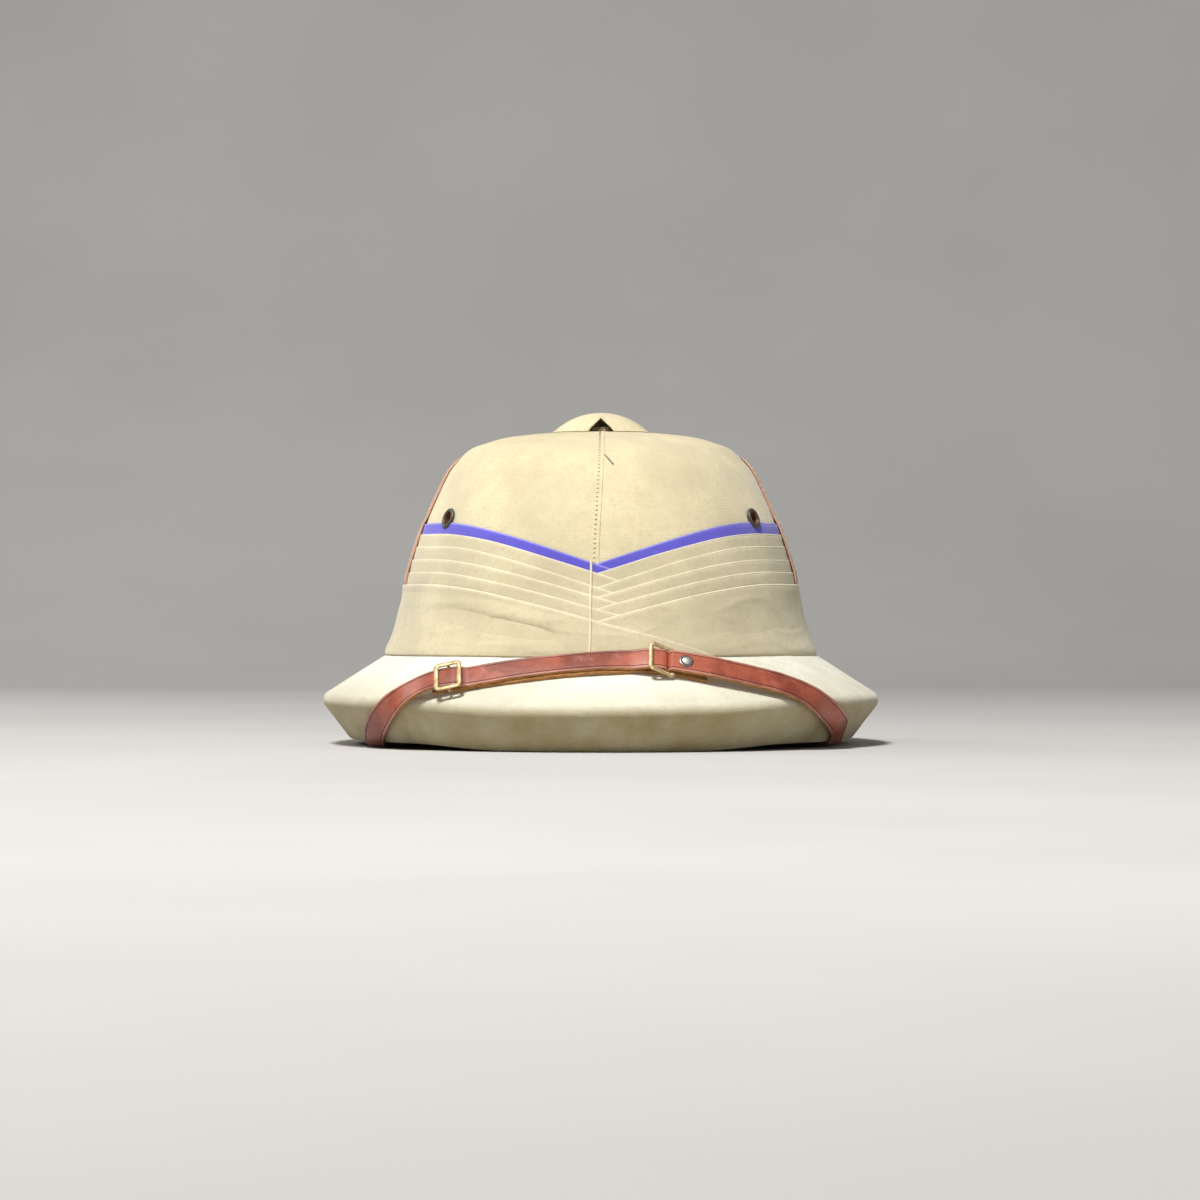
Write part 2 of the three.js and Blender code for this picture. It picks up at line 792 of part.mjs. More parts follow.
function makeStrapRight(tools) {
  const rail = buckleTurn + barPitch * turnPerMm;
  const standAt = (turn) => THREE.MathUtils.lerp(
    highStand,
    restStand(turn),
    smooth(turn, tailTurn, strapLandTurn),
  );
  const upper = turnsBetween(anchorTurn, rail, strapStep)
    .map((turn) => ribbonStation(turn, standAt(turn)));
  const fold = foldStations(buckleTurn, barPitch, -1, 6);
  const lower = turnsBetween(rail + ease / 2, tailTurn, strapStep)
    .map((turn) => ribbonStation(turn, restStand(turn), -1));
  return cut(ribbon([...upper.slice(0, -1), ...fold, ...lower]), tools);
}

// A square bar in the strap's frame: sizes and places run along, across and off the brim.
function frameBar(frame, place, size) {
  const basis = new THREE.Matrix4().makeBasis(frame.along, frame.across, frame.off);
  return new THREE.BoxGeometry(...size)
    .translate(...place)
    .applyMatrix4(basis)
    .translate(frame.origin.x, frame.origin.y, frame.origin.z);
}

function makeBuckle(turn, nearStand, farStand) {
  const frame = strapFrame(turn);
  const inside = strapWidth + 2 * frameMargin;
  const railAcross = inside + 2 * barSize;
  const bars = [
    frameBar(frame, [-barPitch, 0, nearStand], [barSize, railAcross, barSize]),
    frameBar(frame, [0, 0, barStand], [barSize, railAcross, barSize]),
    frameBar(frame, [barPitch, 0, farStand], [barSize, railAcross, barSize]),
  ];
  const sideRise = railStand - barStand + barSize;
  [-1, 1].forEach((edge) => {
    bars.push(frameBar(
      frame,
      [0, edge * (inside + barSize) / 2, (railStand + barStand) / 2],
      [2 * barPitch + barSize, barSize, sideRise],
    ));
  });
  return toGeometry(manifold.Manifold.union(bars.map(toSolid)));
}

function studTool(radius) {
  const frame = strapFrame(studTurn);
  const start = frame.origin;
  return turned([[0, 0], [radius, 0], [radius, highStand + 3], [0, highStand + 3]], 20, start, frame.off);
}

function makeStud() {
  const frame = strapFrame(studTurn);
  const face = highStand + strapThickness / 2 + gap;
  const foot = strapRest;
  const profile = [
    [0, foot],
    [studShank, foot],
    [studShank, face],
    [studRadius, face],
    [studRadius * 0.85, face + studHead],
    [0, face + studHead],
  ];
  return turned(profile, 20, frame.origin, frame.off);
}

function anchorFrame(side) {
  const turn = side * (anchorTurn - strapAnchorMargin * turnPerMm);
  return strapFrame(turn);
}

function anchorTool(side) {
  const frame = anchorFrame(side);
  const radius = anchorShank + gap;
  const length = anchorDepth + strapUnderRest + strapThickness + anchorHead + barClearance;
  const start = frame.origin.clone().addScaledVector(frame.off, -anchorDepth - gap);
  return turned([[0, 0], [radius, 0], [radius, length], [0, length]], 20, start, frame.off);
}

function makeAnchor(side) {
  const frame = anchorFrame(side);
  const face = strapUnderRest + strapThickness + barClearance;
  const profile = [
    [0, -anchorDepth],
    [anchorShank, -anchorDepth],
    [anchorShank, face],
    [anchorRadius, face],
    [anchorRadius * 0.8, face + anchorHead],
    [0, face + anchorHead],
  ];
  return turned(profile, 14, frame.origin, frame.off);
}

// Pieces

const looks = {
  cloth: { color: 0xe8dcb8, roughness: 0.9, metalness: 0 },
  pleats: { color: 0xddd0a8, roughness: 0.92, metalness: 0 },
  blue: { color: 0x8c8fe1, roughness: 0.9, metalness: 0 },
  flash: { color: 0xcfa184, roughness: 0.85, metalness: 0 },
  leather: { color: 0xb45f4e, roughness: 0.55, metalness: 0 },
  brass: { color: 0xc9a25a, roughness: 0.35, metalness: 1 },
  gunmetal: { color: 0x4c463f, roughness: 0.45, metalness: 0.9 },
  steel: { color: 0xc8c8c8, roughness: 0.3, metalness: 1 },
};

const helmet = new THREE.Group();
helmet.name = 'pith_helmet';

function addPiece(name, geometry, look) {
  const flat = geometry.index ? geometry.toNonIndexed() : geometry;
  flat.deleteAttribute('normal');
  flat.deleteAttribute('uv');
  flat.computeVertexNormals();
  const mesh = new THREE.Mesh(flat, new THREE.MeshStandardMaterial(looks[look]));
  mesh.name = name;
  helmet.add(mesh);
}

const boreTools = [-1, 1].map((side) => eyeletTool(side, eyeletHoleRadius, 2 * crownWall, 3));
const flangeTools = [-1, 1].map((side) => eyeletTool(side, eyeletRadius + gap, 3, 4));

addPiece('crown_shell', cut(makeCrown(), boreTools), 'cloth');
addPiece('brim', cut(makeBrim(), [-1, 1].map(anchorTool)), 'cloth');
addPiece('pugaree', makePleats(), 'pleats');
addPiece('blue_band', makeBlueBand(flangeTools), 'blue');
addPiece('side_flash_left', makeFlash(-1), 'flash');
addPiece('side_flash_right', makeFlash(1), 'flash');
addPiece('ventilator_cap', makeCap(), 'cloth');
addPiece('ventilator_collar', makeCollar(), 'cloth');
addPiece('eyelet_left', makeEyelet(-1), 'gunmetal');
addPiece('eyelet_right', makeEyelet(1), 'gunmetal');
addPiece('strap_left', makeStrapLeft([anchorTool(-1)]), 'leather');
addPiece('strap_right', makeStrapRight([studTool(studShank + gap), anchorTool(1)]), 'leather');
addPiece('buckle_slide', makeBuckle(slideTurn, railStand, railStand), 'brass');
addPiece('buckle_end', makeBuckle(buckleTurn, railStand, barStand), 'brass');
addPiece('strap_stud', makeStud(), 'steel');
addPiece('strap_anchor_left', makeAnchor(-1), 'brass');
addPiece('strap_anchor_right', makeAnchor(1), 'brass');

export default helmet;
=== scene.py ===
"""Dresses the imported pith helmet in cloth, leather and brass, and sets up its studio.

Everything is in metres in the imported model's own frame: the front faces -Y and the rim stands on z = 0.
Azimuths run counterclockwise from +X; a turn is in degrees from the front, positive towards +X.
"""
import bisect
import math

import bmesh
import bpy
from bpy.props import FloatProperty, FloatVectorProperty, IntProperty, PointerProperty
from mathutils import Matrix, Vector, noise


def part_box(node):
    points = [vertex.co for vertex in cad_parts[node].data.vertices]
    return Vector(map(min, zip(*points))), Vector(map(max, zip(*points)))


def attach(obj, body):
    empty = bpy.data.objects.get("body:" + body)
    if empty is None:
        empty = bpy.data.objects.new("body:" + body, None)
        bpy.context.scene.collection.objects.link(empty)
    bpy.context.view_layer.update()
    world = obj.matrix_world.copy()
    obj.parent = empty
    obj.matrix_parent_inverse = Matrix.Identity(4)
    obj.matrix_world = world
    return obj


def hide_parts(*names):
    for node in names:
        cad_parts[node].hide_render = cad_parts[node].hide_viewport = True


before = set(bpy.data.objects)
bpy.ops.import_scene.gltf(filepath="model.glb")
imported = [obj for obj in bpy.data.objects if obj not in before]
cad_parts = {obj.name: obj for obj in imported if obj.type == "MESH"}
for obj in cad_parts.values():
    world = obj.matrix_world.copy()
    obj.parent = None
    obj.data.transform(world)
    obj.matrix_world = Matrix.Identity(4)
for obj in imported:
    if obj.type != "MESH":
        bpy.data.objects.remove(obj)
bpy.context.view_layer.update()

bl_info = {
    "name": "Pith helmet dressing",
    "version": (1, 0, 0),
    "blender": (4, 5, 0),
    "location": "View3D > Sidebar > Helmet",
    "description": "Builds the cloth, straps and fittings of a pith helmet and a studio for it",
    "category": "Object",
}

MM = 0.001
BODY = "root"


def node_size(node):
    """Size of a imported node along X, Y and Z."""
    low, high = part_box(node)
    return Vector(high) - Vector(low)


def node_middle(node):
    """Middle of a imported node's box."""
    low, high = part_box(node)
    return (Vector(high) + Vector(low)) / 2


# The crown's outside, from its root to its top: the rise as a share of the crown's height, then
# the side, front and back reaches as shares of its half width and half length.
CROWN_PROFILE = (
    (0.000, 1.000, 1.000, 1.000),
    (0.090, 0.962, 0.968, 0.968),
    (0.200, 0.932, 0.942, 0.942),
    (0.310, 0.914, 0.926, 0.924),
    (0.420, 0.891, 0.906, 0.902),
    (0.585, 0.845, 0.864, 0.856),
    (0.700, 0.795, 0.816, 0.804),
    (0.806, 0.741, 0.754, 0.738),
    (0.861, 0.695, 0.702, 0.684),
    (0.917, 0.633, 0.628, 0.610),
    (0.944, 0.561, 0.560, 0.542),
    (0.972, 0.452, 0.450, 0.436),
)
PROFILE_STEPS = 220

# The folds from the lowest up: the top edge's height at the sides and at the front, as shares of
# the band's height, and how far the top edge stands off the crown in mm.
FOLDS = (
    {"name": "wrap", "side": 0.520, "front": 0.237, "stand": 4.50},
    {"name": "pleat_4", "side": 0.615, "front": 0.328, "stand": 3.20},
    {"name": "pleat_3", "side": 0.712, "front": 0.420, "stand": 2.65},
    {"name": "pleat_2", "side": 0.818, "front": 0.496, "stand": 2.10},
    {"name": "pleat_1", "side": 0.914, "front": 0.600, "stand": 1.55},
    {"name": "blue", "side": 1.000, "front": 0.672, "stand": 1.00},
)

# Each fold is at its front height at FOLD_SHIFT degrees from the front, and has risen to its
# height at the sides FOLD_TURN degrees further on.
FOLD_TURN = 58
FOLD_SHIFT = -1.2

# The strap's way over the brim from one end to the other: degrees from the front, mm past the
# start of the rim's bend, and how far its upper edge leans off the brim in degrees.
STRAP_ROUTE = (
    (-77, 52.3, 0),
    (-72, 49.5, 0),
    (-68.5, 44.3, 0),
    (-66, 40.5, 0),
    (-63.5, 35.6, 0),
    (-60.3, 29.8, 0),
    (-56.4, 22.6, 0),
    (-52, 14.6, 1),
    (-47.3, 7.6, 4),
    (-43, 2.6, 8),
    (-38, -3.4, 15),
    (-30, -14.6, 21),
    (-20, -24.5, 18),
    (-10, -30.2, 13),
    (0, -33.6, 14),
    (10, -33.4, 19),
    (20, -28.2, 22),
    (30, -18.0, 25),
    (38, -6.8, 27),
    (43, 0.2, 23),
    (47.3, 4.4, 16),
    (52, 8.6, 8),
    (56.4, 12.9, 2),
    (60.3, 19.2, 0),
    (63.5, 28.0, 0),
    (66, 36.6, 0),
    (68.5, 44, 0),
    (72, 49.5, 0),
    (77, 52.3, 0),
)

# Millimetres along the brim for each degree of turn, how many samples the way is first cut into,
# and the distance in mm between those that are kept.
ROUTE_SCALE = 2.6
ROUTE_SAMPLES = 3000
ROUTE_PITCH = 0.8

# Where the strap bridges the rim's upper bend: the degrees from the front at which that begins,
# is full, begins to fade and has gone; over how many degrees and samples to each side it is
# evened out, how slowly their weights fall, and how far the strap is lifted.
BRIDGE_TURNS = (28, 40, 56, 64)
BRIDGE_REACH = 8.0
BRIDGE_SAMPLES = 4
BRIDGE_FALL = 5.8
BRIDGE_LIFT = 1.7 * MM

# Where the eyelets sit: degrees from the front, height over the blue fold's edge, radius of the
# hole for them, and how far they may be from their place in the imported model.
EYELET_TURN = 58
EYELET_RISE = 1.9 * MM
EYELET_HOLE = 3.9 * MM
EYELET_SLACK = 12 * MM

# A stitch from end to end: share of its length, then its thickness and height as shares of its
# thread's radius.
STITCH_SHAPE = (
    (0, 0.35, -0.7),
    (0.15, 0.85, 0.0),
    (0.5, 1, 0.35),
    (0.85, 0.85, 0.0),
    (1, 0.35, -0.7),
)


# Small helpers


def mix(a, b, t):
    """Value a share t of the way from a to b."""
    return a + (b - a) * t


def smooth(x, low, high):
    """Eased step from 0 at low to 1 at high."""
    t = min(1.0, max(0.0, (x - low) / (high - low)))
    return t * t * (3 - 2 * t)


def spline(rows, t):
    """Point at share t of a smooth curve through rows of numbers."""
    place = min(t, 0.999999) * (len(rows) - 1)
    i = int(place)
    u = place - i
    a, b = rows[max(0, i - 1)], rows[i]
    c, d = rows[i + 1], rows[min(len(rows) - 1, i + 2)]
    return [
        0.5 * (2 * q + (r - p) * u + (2 * p - 5 * q + 4 * r - s) * u * u + (3 * q - p - 3 * r + s) * u ** 3)
        for p, q, r, s in zip(a, b, c, d)
    ]


def wobble(seed, *place):
    """Smooth noise from -1 to 1 at a place of up to three numbers."""
    point = Vector((*place, 0.0, 0.0)[:3]) + Vector((seed * 7.31, seed * 3.17, seed * 5.73))
    return noise.noise(point)


# The helmet's form


class HelmetForm:
    """Where the helmet's surfaces lie, from the sizes in the panel."""

    def __init__(self, scene):
        size = scene.pith_sizes
        self.size = size
        self.side = size.crown_width / 2
        self.end = size.crown_length / 2
        self.centre = (size.brim_front - size.brim_back) / 2
        self.root = size.root_height
        self.top = size.root_height + size.crown_height
        self.seat = self.top - size.seat_drop
        rows = [
            (
                self.root + size.crown_height * rise,
                self.side * side,
                self.end * front,
                self.end * back,
            )
            for rise, side, front, back in CROWN_PROFILE
        ]
        rows.append((self.seat, *[size.seat_radius] * 3))
        rows.append((self.seat + 0.3 * MM, *[size.vent_radius] * 3))
        self.profile = [spline(rows, i / PROFILE_STEPS) for i in range(PROFILE_STEPS + 1)]
        self.heights = [row[0] for row in self.profile]
        for i in range(1, len(self.heights)):
            self.heights[i] = max(self.heights[i], self.heights[i - 1] + 1e-7)
        self.route = self.strap_samples()

    # Crown

    def oval(self, azimuth, half):
        """Point of an oval in plan, where half holds its side, front and back reaches."""
        reach = half[1] if math.sin(azimuth) < 0 else half[2]
        return Vector((half[0] * math.cos(azimuth), self.centre + reach * math.sin(azimuth)))

    def crown_half(self, z):
        """Side, front and back reaches of the crown at a height."""
        i = bisect.bisect(self.heights, z)
        if i == 0:
            return self.profile[0][1:]
        if i >= len(self.heights):
            return self.profile[-1][1:]
        low, high = self.profile[i - 1], self.profile[i]
        t = (z - self.heights[i - 1]) / (self.heights[i] - self.heights[i - 1])
        return [mix(a, b, t) for a, b in zip(low[1:], high[1:])]

    def on_crown(self, azimuth, z, stand=0.0):
        """Point that stands off the crown's outside."""
        half = [value + stand for value in self.crown_half(z)]
        p = self.oval(azimuth, half)
        return Vector((p.x, p.y, z))

    def crown_normal(self, azimuth, z):
        """Outward direction of the crown's outside."""
        around = self.on_crown(azimuth + 0.02, z) - self.on_crown(azimuth - 0.02, z)
        rise = self.on_crown(azimuth, z + 3 * MM) - self.on_crown(azimuth, z - 3 * MM)
        return around.cross(rise).normalized()

    # Brim

    def rim_lift(self, azimuth):
        """How far the rim's underside is off the ground."""
        return self.size.side_lift * smooth(math.cos(azimuth) ** 2, 0.07, 0.5)

    def brim_plan(self, azimuth):
        """Start, reach and direction of the brim's section in plan."""
        size = self.size
        gap = 0.3 * MM
        root = self.oval(azimuth, (self.side + gap, self.end + gap, self.end + gap))
        rim = self.oval(
            azimuth,
            (self.side + size.brim_side, self.end + size.brim_front, self.end + size.brim_back),
        )
        out = rim - root
        return root, out.length, out.normalized()

    def brim_spans(self, azimuth):
        """The brim's section as spans, each a length and a function from a share to (point, normal)."""
        size = self.size
        reach = self.brim_plan(azimuth)[1]
        lift = self.rim_lift(azimuth)
        top = Vector((0, self.root))
        nose = Vector((reach - size.rim_radius, size.rim_height + lift))
        heel = Vector((reach - size.rim_undercut, lift))
        toe = Vector((heel.x - size.rim_land, lift))
        bottom = Vector((0, self.root - size.brim_depth))

        def tangent(point, side):
            offset = nose - point
            lean = math.pi / 2 - math.asin(size.rim_radius / offset.length)
            return math.atan2(offset.y, offset.x) + side * lean

        start = (tangent(top, -1) + math.pi) % (2 * math.pi)
        stop = tangent(heel, 1) % (2 * math.pi) - math.pi
        if stop > start:
            stop -= 2 * math.pi
        nose_arc = arc_span(nose, size.rim_radius, start, stop)
        bevel = nose_arc[1](1)[0]
        heel_arc, heel_in, heel_out = corner_span(bevel, heel, toe, size.hem_radius)
        toe_arc, toe_in, toe_out = corner_span(heel_out, toe, bottom, size.hem_radius)
        return [
            line_span(top, nose_arc[1](0)[0]),
            nose_arc,
            line_span(bevel, heel_in),
            heel_arc,
            line_span(heel_out, toe_in),
            toe_arc,
            line_span(toe_out, bottom),
        ]

    def brim_at(self, turn, past):
        """Point and outward normal on the brim, a distance past the start of the rim's bend."""
        azimuth = math.radians(turn - 90)
        root, _, out = self.brim_plan(azimuth)
        spans = self.brim_spans(azimuth)
        along = past + spans[0][0]
        index = 0
        while index < len(spans) - 1 and along > spans[index][0]:
            along -= spans[index][0]
            index += 1
        point, normal = spans[index][1](along / spans[index][0])
        return in_plane(root, out, point), in_plane(Vector((0, 0)), out, normal)

    def brim_slope(self, azimuth):
        """How much the brim's top falls for each unit outwards."""
        line = self.brim_spans(azimuth)[0][1]
        start, stop = line(0)[0], line(1)[0]
        return (start.y - stop.y) / (stop.x - start.x)

    # Pleated band

    def fold_height(self, fold, turn):
        """Height of a fold's top edge; turns past the front's middle carry on downwards."""
        share = math.sin(math.radians(90 * max(-1.0, min(1.0, turn / FOLD_TURN))))
        return self.root + self.size.band_height * mix(fold["front"], fold["side"], share)

    def band_foot(self, azimuth, stand):
        """Height at which something that stands off the crown meets the brim."""
        return self.root - self.brim_slope(azimuth) * stand + 0.35 * MM

    # Chin strap

    def strap_samples(self):
        """Evenly spaced (turn, past, lean) rows along the strap's whole way."""
        dense = [spline(STRAP_ROUTE, i / ROUTE_SAMPLES) for i in range(ROUTE_SAMPLES + 1)]
        samples = [dense[0]]
        for row in dense:
            step = math.hypot((row[0] - samples[-1][0]) * ROUTE_SCALE, row[1] - samples[-1][1])
            if step >= ROUTE_PITCH:
                samples.append(row)
        samples.append(dense[-1])
        return samples

    def route_at(self, turn):
        """Past in metres and lean in radians of the strap at a turn."""
        turns = [row[0] for row in self.route]
        i = min(len(turns) - 1, max(1, bisect.bisect_left(turns, turn)))
        low, high = self.route[i - 1], self.route[i]
        t = (turn - low[0]) / max(1e-9, high[0] - low[0])
        return mix(low[1], high[1], t) * MM, math.radians(max(0.0, mix(low[2], high[2], t)))

    def past_at(self, turn):
        """How far past the start of the rim's bend the strap lies at a turn."""
        return self.route_at(turn)[0]

    def strap_frame(self, turn):
        """Frame of the strap at a turn, evened out where it bridges the rim's upper bend."""
        begins, full, fades, gone = BRIDGE_TURNS
        bridged = smooth(abs(turn), begins, full) * (1 - smooth(abs(turn), fades, gone))
        if not bridged:
            return self.brim_frame(turn)
        shifts = range(-BRIDGE_SAMPLES, BRIDGE_SAMPLES + 1)
        near = [self.brim_frame(turn + BRIDGE_REACH * bridged * k / BRIDGE_SAMPLES) for k in shifts]
        weights = [math.exp(-k * k / BRIDGE_FALL) for k in shifts]
        origin, along, across = (
            sum((axes[i] * weight for axes, weight in zip(near, weights)), Vector()) / sum(weights)
            for i in range(3))
        along.normalize()
        across = (across - along * across.dot(along)).normalized()
        off = along.cross(across)
        return origin + off * (BRIDGE_LIFT * bridged), along, across, off

    def brim_frame(self, turn):
        """Origin and the directions along, across and off the brim of a strap that follows it."""
        step = 0.3
        point, normal = self.brim_at(turn, self.past_at(turn))
        ahead = self.brim_at(turn + step, self.past_at(turn + step))[0]
        behind = self.brim_at(turn - step, self.past_at(turn - step))[0]
        along = (ahead - behind).normalized()
        across = normal.cross(along).normalized()
        off = along.cross(across)
        lean = self.route_at(turn)[1]
        tilted = across * math.cos(lean) + off * math.sin(lean)
        half = self.size.strap_width / 2
        origin = point - across * half + tilted * half
        return origin, along, tilted, along.cross(tilted)

    def across_on_brim(self, turn, across):
        """How a metre across the strap moves its place on the brim, in turn and in metres past."""
        past = self.past_at(turn)
        step, drop = 0.2, 0.2 * MM
        round_step = self.brim_at(turn + step, past)[0] - self.brim_at(turn - step, past)[0]
        down_step = self.brim_at(turn, past + drop)[0] - self.brim_at(turn, past - drop)[0]
        round_step /= 2 * step
        down_step /= 2 * drop
        a, b, c = round_step.dot(round_step), round_step.dot(down_step), down_step.dot(down_step)
        d, e = across.dot(round_step), across.dot(down_step)
        scale = a * c - b * b
        return (d * c - e * b) / scale, (a * e - b * d) / scale


def line_span(start, stop):
    """Straight run of a section: its length, and the point and normal at a share of it."""
    along = stop - start
    normal = Vector((-along.y, along.x)).normalized()
    return along.length, lambda t: (start + along * t, normal)


def arc_span(centre, radius, start, stop):
    """Round run of a section between two angles, told as a straight run is."""

    def at(t):
        angle = mix(start, stop, t)
        normal = Vector((math.cos(angle), math.sin(angle)))
        return centre + normal * radius, normal

    return radius * abs(stop - start), at


def corner_span(before, corner, after, radius):
    """Rounded corner between two straight runs, and where the runs meet it."""
    inward = (before - corner).normalized()
    onward = (after - corner).normalized()
    half = math.acos(inward.dot(onward)) / 2
    setback = radius / math.tan(half)
    centre = corner + (inward + onward).normalized() * (radius / math.sin(half))
    start = corner + inward * setback
    stop = corner + onward * setback
    first = math.atan2(start.y - centre.y, start.x - centre.x)
    last = math.atan2(stop.y - centre.y, stop.x - centre.x)
    if last > first:
        first += 2 * math.pi
    return arc_span(centre, radius, first, last), start, stop


def in_plane(root, out, point):
    """Place in space of a section's point, for a section that starts at root and reaches out."""
    return Vector((root.x + out.x * point.x, root.y + out.y * point.x, point.y))


# Meshes


def placed(name, data):
    """Puts an object with its data in the scene."""
    thing = bpy.data.objects.new(name, data)
    bpy.context.scene.collection.objects.link(thing)
    return thing


def make_piece(name, mesh, finishes, nodes=(), sharp=None):
    """Puts a mesh in the scene as a piece that rides on the helmet.

    Its edges are sharp where its faces meet at more than sharp degrees, where that is given.
    """
    for finish in finishes:
        mesh.materials.append(helmet_material(finish))
    piece = placed(name, mesh)
    for polygon in mesh.polygons:
        polygon.use_smooth = True
    if sharp is not None:
        mesh.set_sharp_from_angle(angle=math.radians(sharp))
    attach(piece, BODY)
    if nodes:
        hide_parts(*nodes)
    return piece


def grid_mesh(name, rows, around=False, across=False, caps=False, uv=None):
    """Mesh over rows of points, each joined to the next.

    around joins the last row to the first, and across joins each row's last point to its first.
    uv(i, j) gives metres along and across the cloth for row i and point j.
    """
    count = len(rows[0])
    points = [tuple(p) for row in rows for p in row]
    faces = []
    corners = []
    runs = len(rows) if around else len(rows) - 1
    steps = count if across else count - 1
    for i in range(runs):
        n = (i + 1) % len(rows)
        for j in range(steps):
            k = (j + 1) % count
            faces.append((i * count + j, i * count + k, n * count + k, n * count + j))
            corners.append(((i, j), (i, j + 1), (i + 1, j + 1), (i + 1, j)))
    if caps and across:
        last = (len(rows) - 1) * count
        faces.append(tuple(reversed(range(count))))
        faces.append(tuple(last + j for j in range(count)))
        corners.append([(0, j) for j in reversed(range(count))])
        corners.append([(len(rows) - 1, j) for j in range(count)])
    mesh = bpy.data.meshes.new(name)
    mesh.from_pydata(points, [], faces)
    if uv is not None:
        layer = mesh.uv_layers.new(name="cloth")
        values = [value for face in corners for corner in face for value in uv(*corner)]
        layer.data.foreach_set("uv", values)
    mesh.update()
    shape = bmesh.new()
    shape.from_mesh(mesh)
    turn_outwards(shape)
    shape.to_mesh(mesh)
    shape.free()
    return mesh


def turn_outwards(shape):
    """Turns the faces of a closed bmesh outwards."""
    bmesh.ops.recalc_face_normals(shape, faces=shape.faces)
    if shape.calc_volume(signed=True) < 0:
        bmesh.ops.reverse_faces(shape, faces=shape.faces)


def finish_rows(mesh, count, first, last, index):
    """Gives a finish to the faces that start at points first up to last of rows of count points."""
    for polygon in mesh.polygons:
        if first <= min(v % count for v in polygon.vertices) < last:
            polygon.material_index = index


def arc(middle, reach, first, last, steps):
    """Points of an oval's arc from the first angle to the last."""
    angles = [mix(first, last, k / steps) for k in range(steps + 1)]
    return [(middle[0] + reach[0] * math.cos(a), middle[1] + reach[1] * math.sin(a)) for a in angles]


def turned_mesh(name, profile, segments, at, direction):
    """Round mesh from (radius, height) pairs about a direction through a point."""
    turn = Vector((0, 0, 1)).rotation_difference(direction)
    rows = []
    for i in range(segments):
        angle = 2 * math.pi * i / segments
        spoke = Vector((math.cos(angle), math.sin(angle), 0))
        rows.append([at + turn @ (spoke * r + Vector((0, 0, h))) for r, h in profile])
    mesh = grid_mesh(name, rows, around=True, across=True, uv=lambda i, j: (i / segments * 0.03, j * 0.001))
    shape = bmesh.new()
    shape.from_mesh(mesh)
    bmesh.ops.remove_doubles(shape, verts=shape.verts, dist=1e-7)
    slivers = [face for face in shape.faces if face.calc_area() < 1e-13]
    bmesh.ops.delete(shape, geom=slivers, context="FACES")
    bmesh.ops.delete(shape, geom=[edge for edge in shape.edges if not edge.link_faces], context="EDGES")
    bmesh.ops.delete(shape, geom=[vert for vert in shape.verts if not vert.link_faces], context="VERTS")
    turn_outwards(shape)
    shape.to_mesh(mesh)
    shape.free()
    return mesh


def joined_mesh(name, meshes):
    """One mesh from several, keeping their material numbers."""
    shape = bmesh.new()
    for mesh in meshes:
        shape.from_mesh(mesh)
        bpy.data.meshes.remove(mesh)
    whole = bpy.data.meshes.new(name)
    shape.to_mesh(whole)
    shape.free()
    return whole


def cut_away(piece, name, meshes):
    """Takes the room of some closed meshes out of a piece."""
    tool = placed(name, joined_mesh(name, meshes))
    cut = piece.modifiers.new(name, "BOOLEAN")
    cut.operation = "DIFFERENCE"
    cut.object = tool
    graph = bpy.context.evaluated_depsgraph_get()
    result = bpy.data.meshes.new_from_object(piece.evaluated_get(graph), depsgraph=graph)
    piece.modifiers.clear()
    uncut = piece.data
    piece.data = result
    bpy.data.meshes.remove(uncut)
    result.name = piece.name
    bpy.data.objects.remove(tool)


def tube_mesh(name, path, radius, sides=10, closed=False, pitch=0.0, twist=0.0, facing=None, flat=1.0):
    """Round cord along a path, with an optional twist of its strands.

    Where facing is given, the cord is flat times as thick that way as it is wide.
    """
    rows = []
    side = None
    travelled = 0.0
    for i, point in enumerate(path):
        ahead = path[(i + 1) % len(path)] if closed or i + 1 < len(path) else point
        behind = path[i - 1] if closed or i else point
        along = (ahead - behind).normalized()
        if side is None:
            side = along.orthogonal().normalized()
        if facing is not None:
            side = facing.cross(along)
        side = (side - along * side.dot(along)).normalized()
        other = along.cross(side)
        if i:
            travelled += (point - path[i - 1]).length
        row = []
        for j in range(sides):
            angle = 2 * math.pi * j / sides
            swell = 1.0
            if pitch:
                swell += twist * math.cos(3 * angle + 2 * math.pi * travelled / pitch)
            row.append(point + (side * math.cos(angle) + other * math.sin(angle) * flat) * radius * swell)
        rows.append(row)
    return grid_mesh(
        name,
        rows,
        around=closed,
        across=True,
        caps=not closed,
        uv=lambda i, j: (i * 0.001, j * 0.0005),
    )


def stitch_mesh(name, path, normals, stitch, space, radius):
    """Row of thread stitches sunk halfway into a surface along a path."""
    meshes = []
    lengths = [0.0]
    for a, b in zip(path, path[1:]):
        lengths.append(lengths[-1] + (b - a).length)

    def at(distance):
        i = min(len(lengths) - 1, max(1, bisect.bisect(lengths, distance)))
        t = (distance - lengths[i - 1]) / (lengths[i] - lengths[i - 1])
        return path[i - 1].lerp(path[i], t), normals[i - 1].lerp(normals[i], t).normalized()

    start = space / 2
    while start + stitch < lengths[-1]:
        ring = []
        for share, swell, rise in STITCH_SHAPE:
            point, normal = at(start + stitch * share)
            ahead = at(start + stitch * share + 1e-4)[0] - at(start + stitch * share - 1e-4)[0]
            side = normal.cross(ahead.normalized())
            middle = point + normal * (radius * rise)
            ring.append([
                middle + (side * math.cos(a) + normal * math.sin(a)) * radius * swell
                for a in (2 * math.pi * k / 6 for k in range(6))
            ])
        meshes.append(grid_mesh(name, ring, across=True, caps=True, uv=lambda i, j: (i * 0.0005, j * 0.0002)))
        start += stitch + space
    return joined_mesh(name, meshes)


# Materials


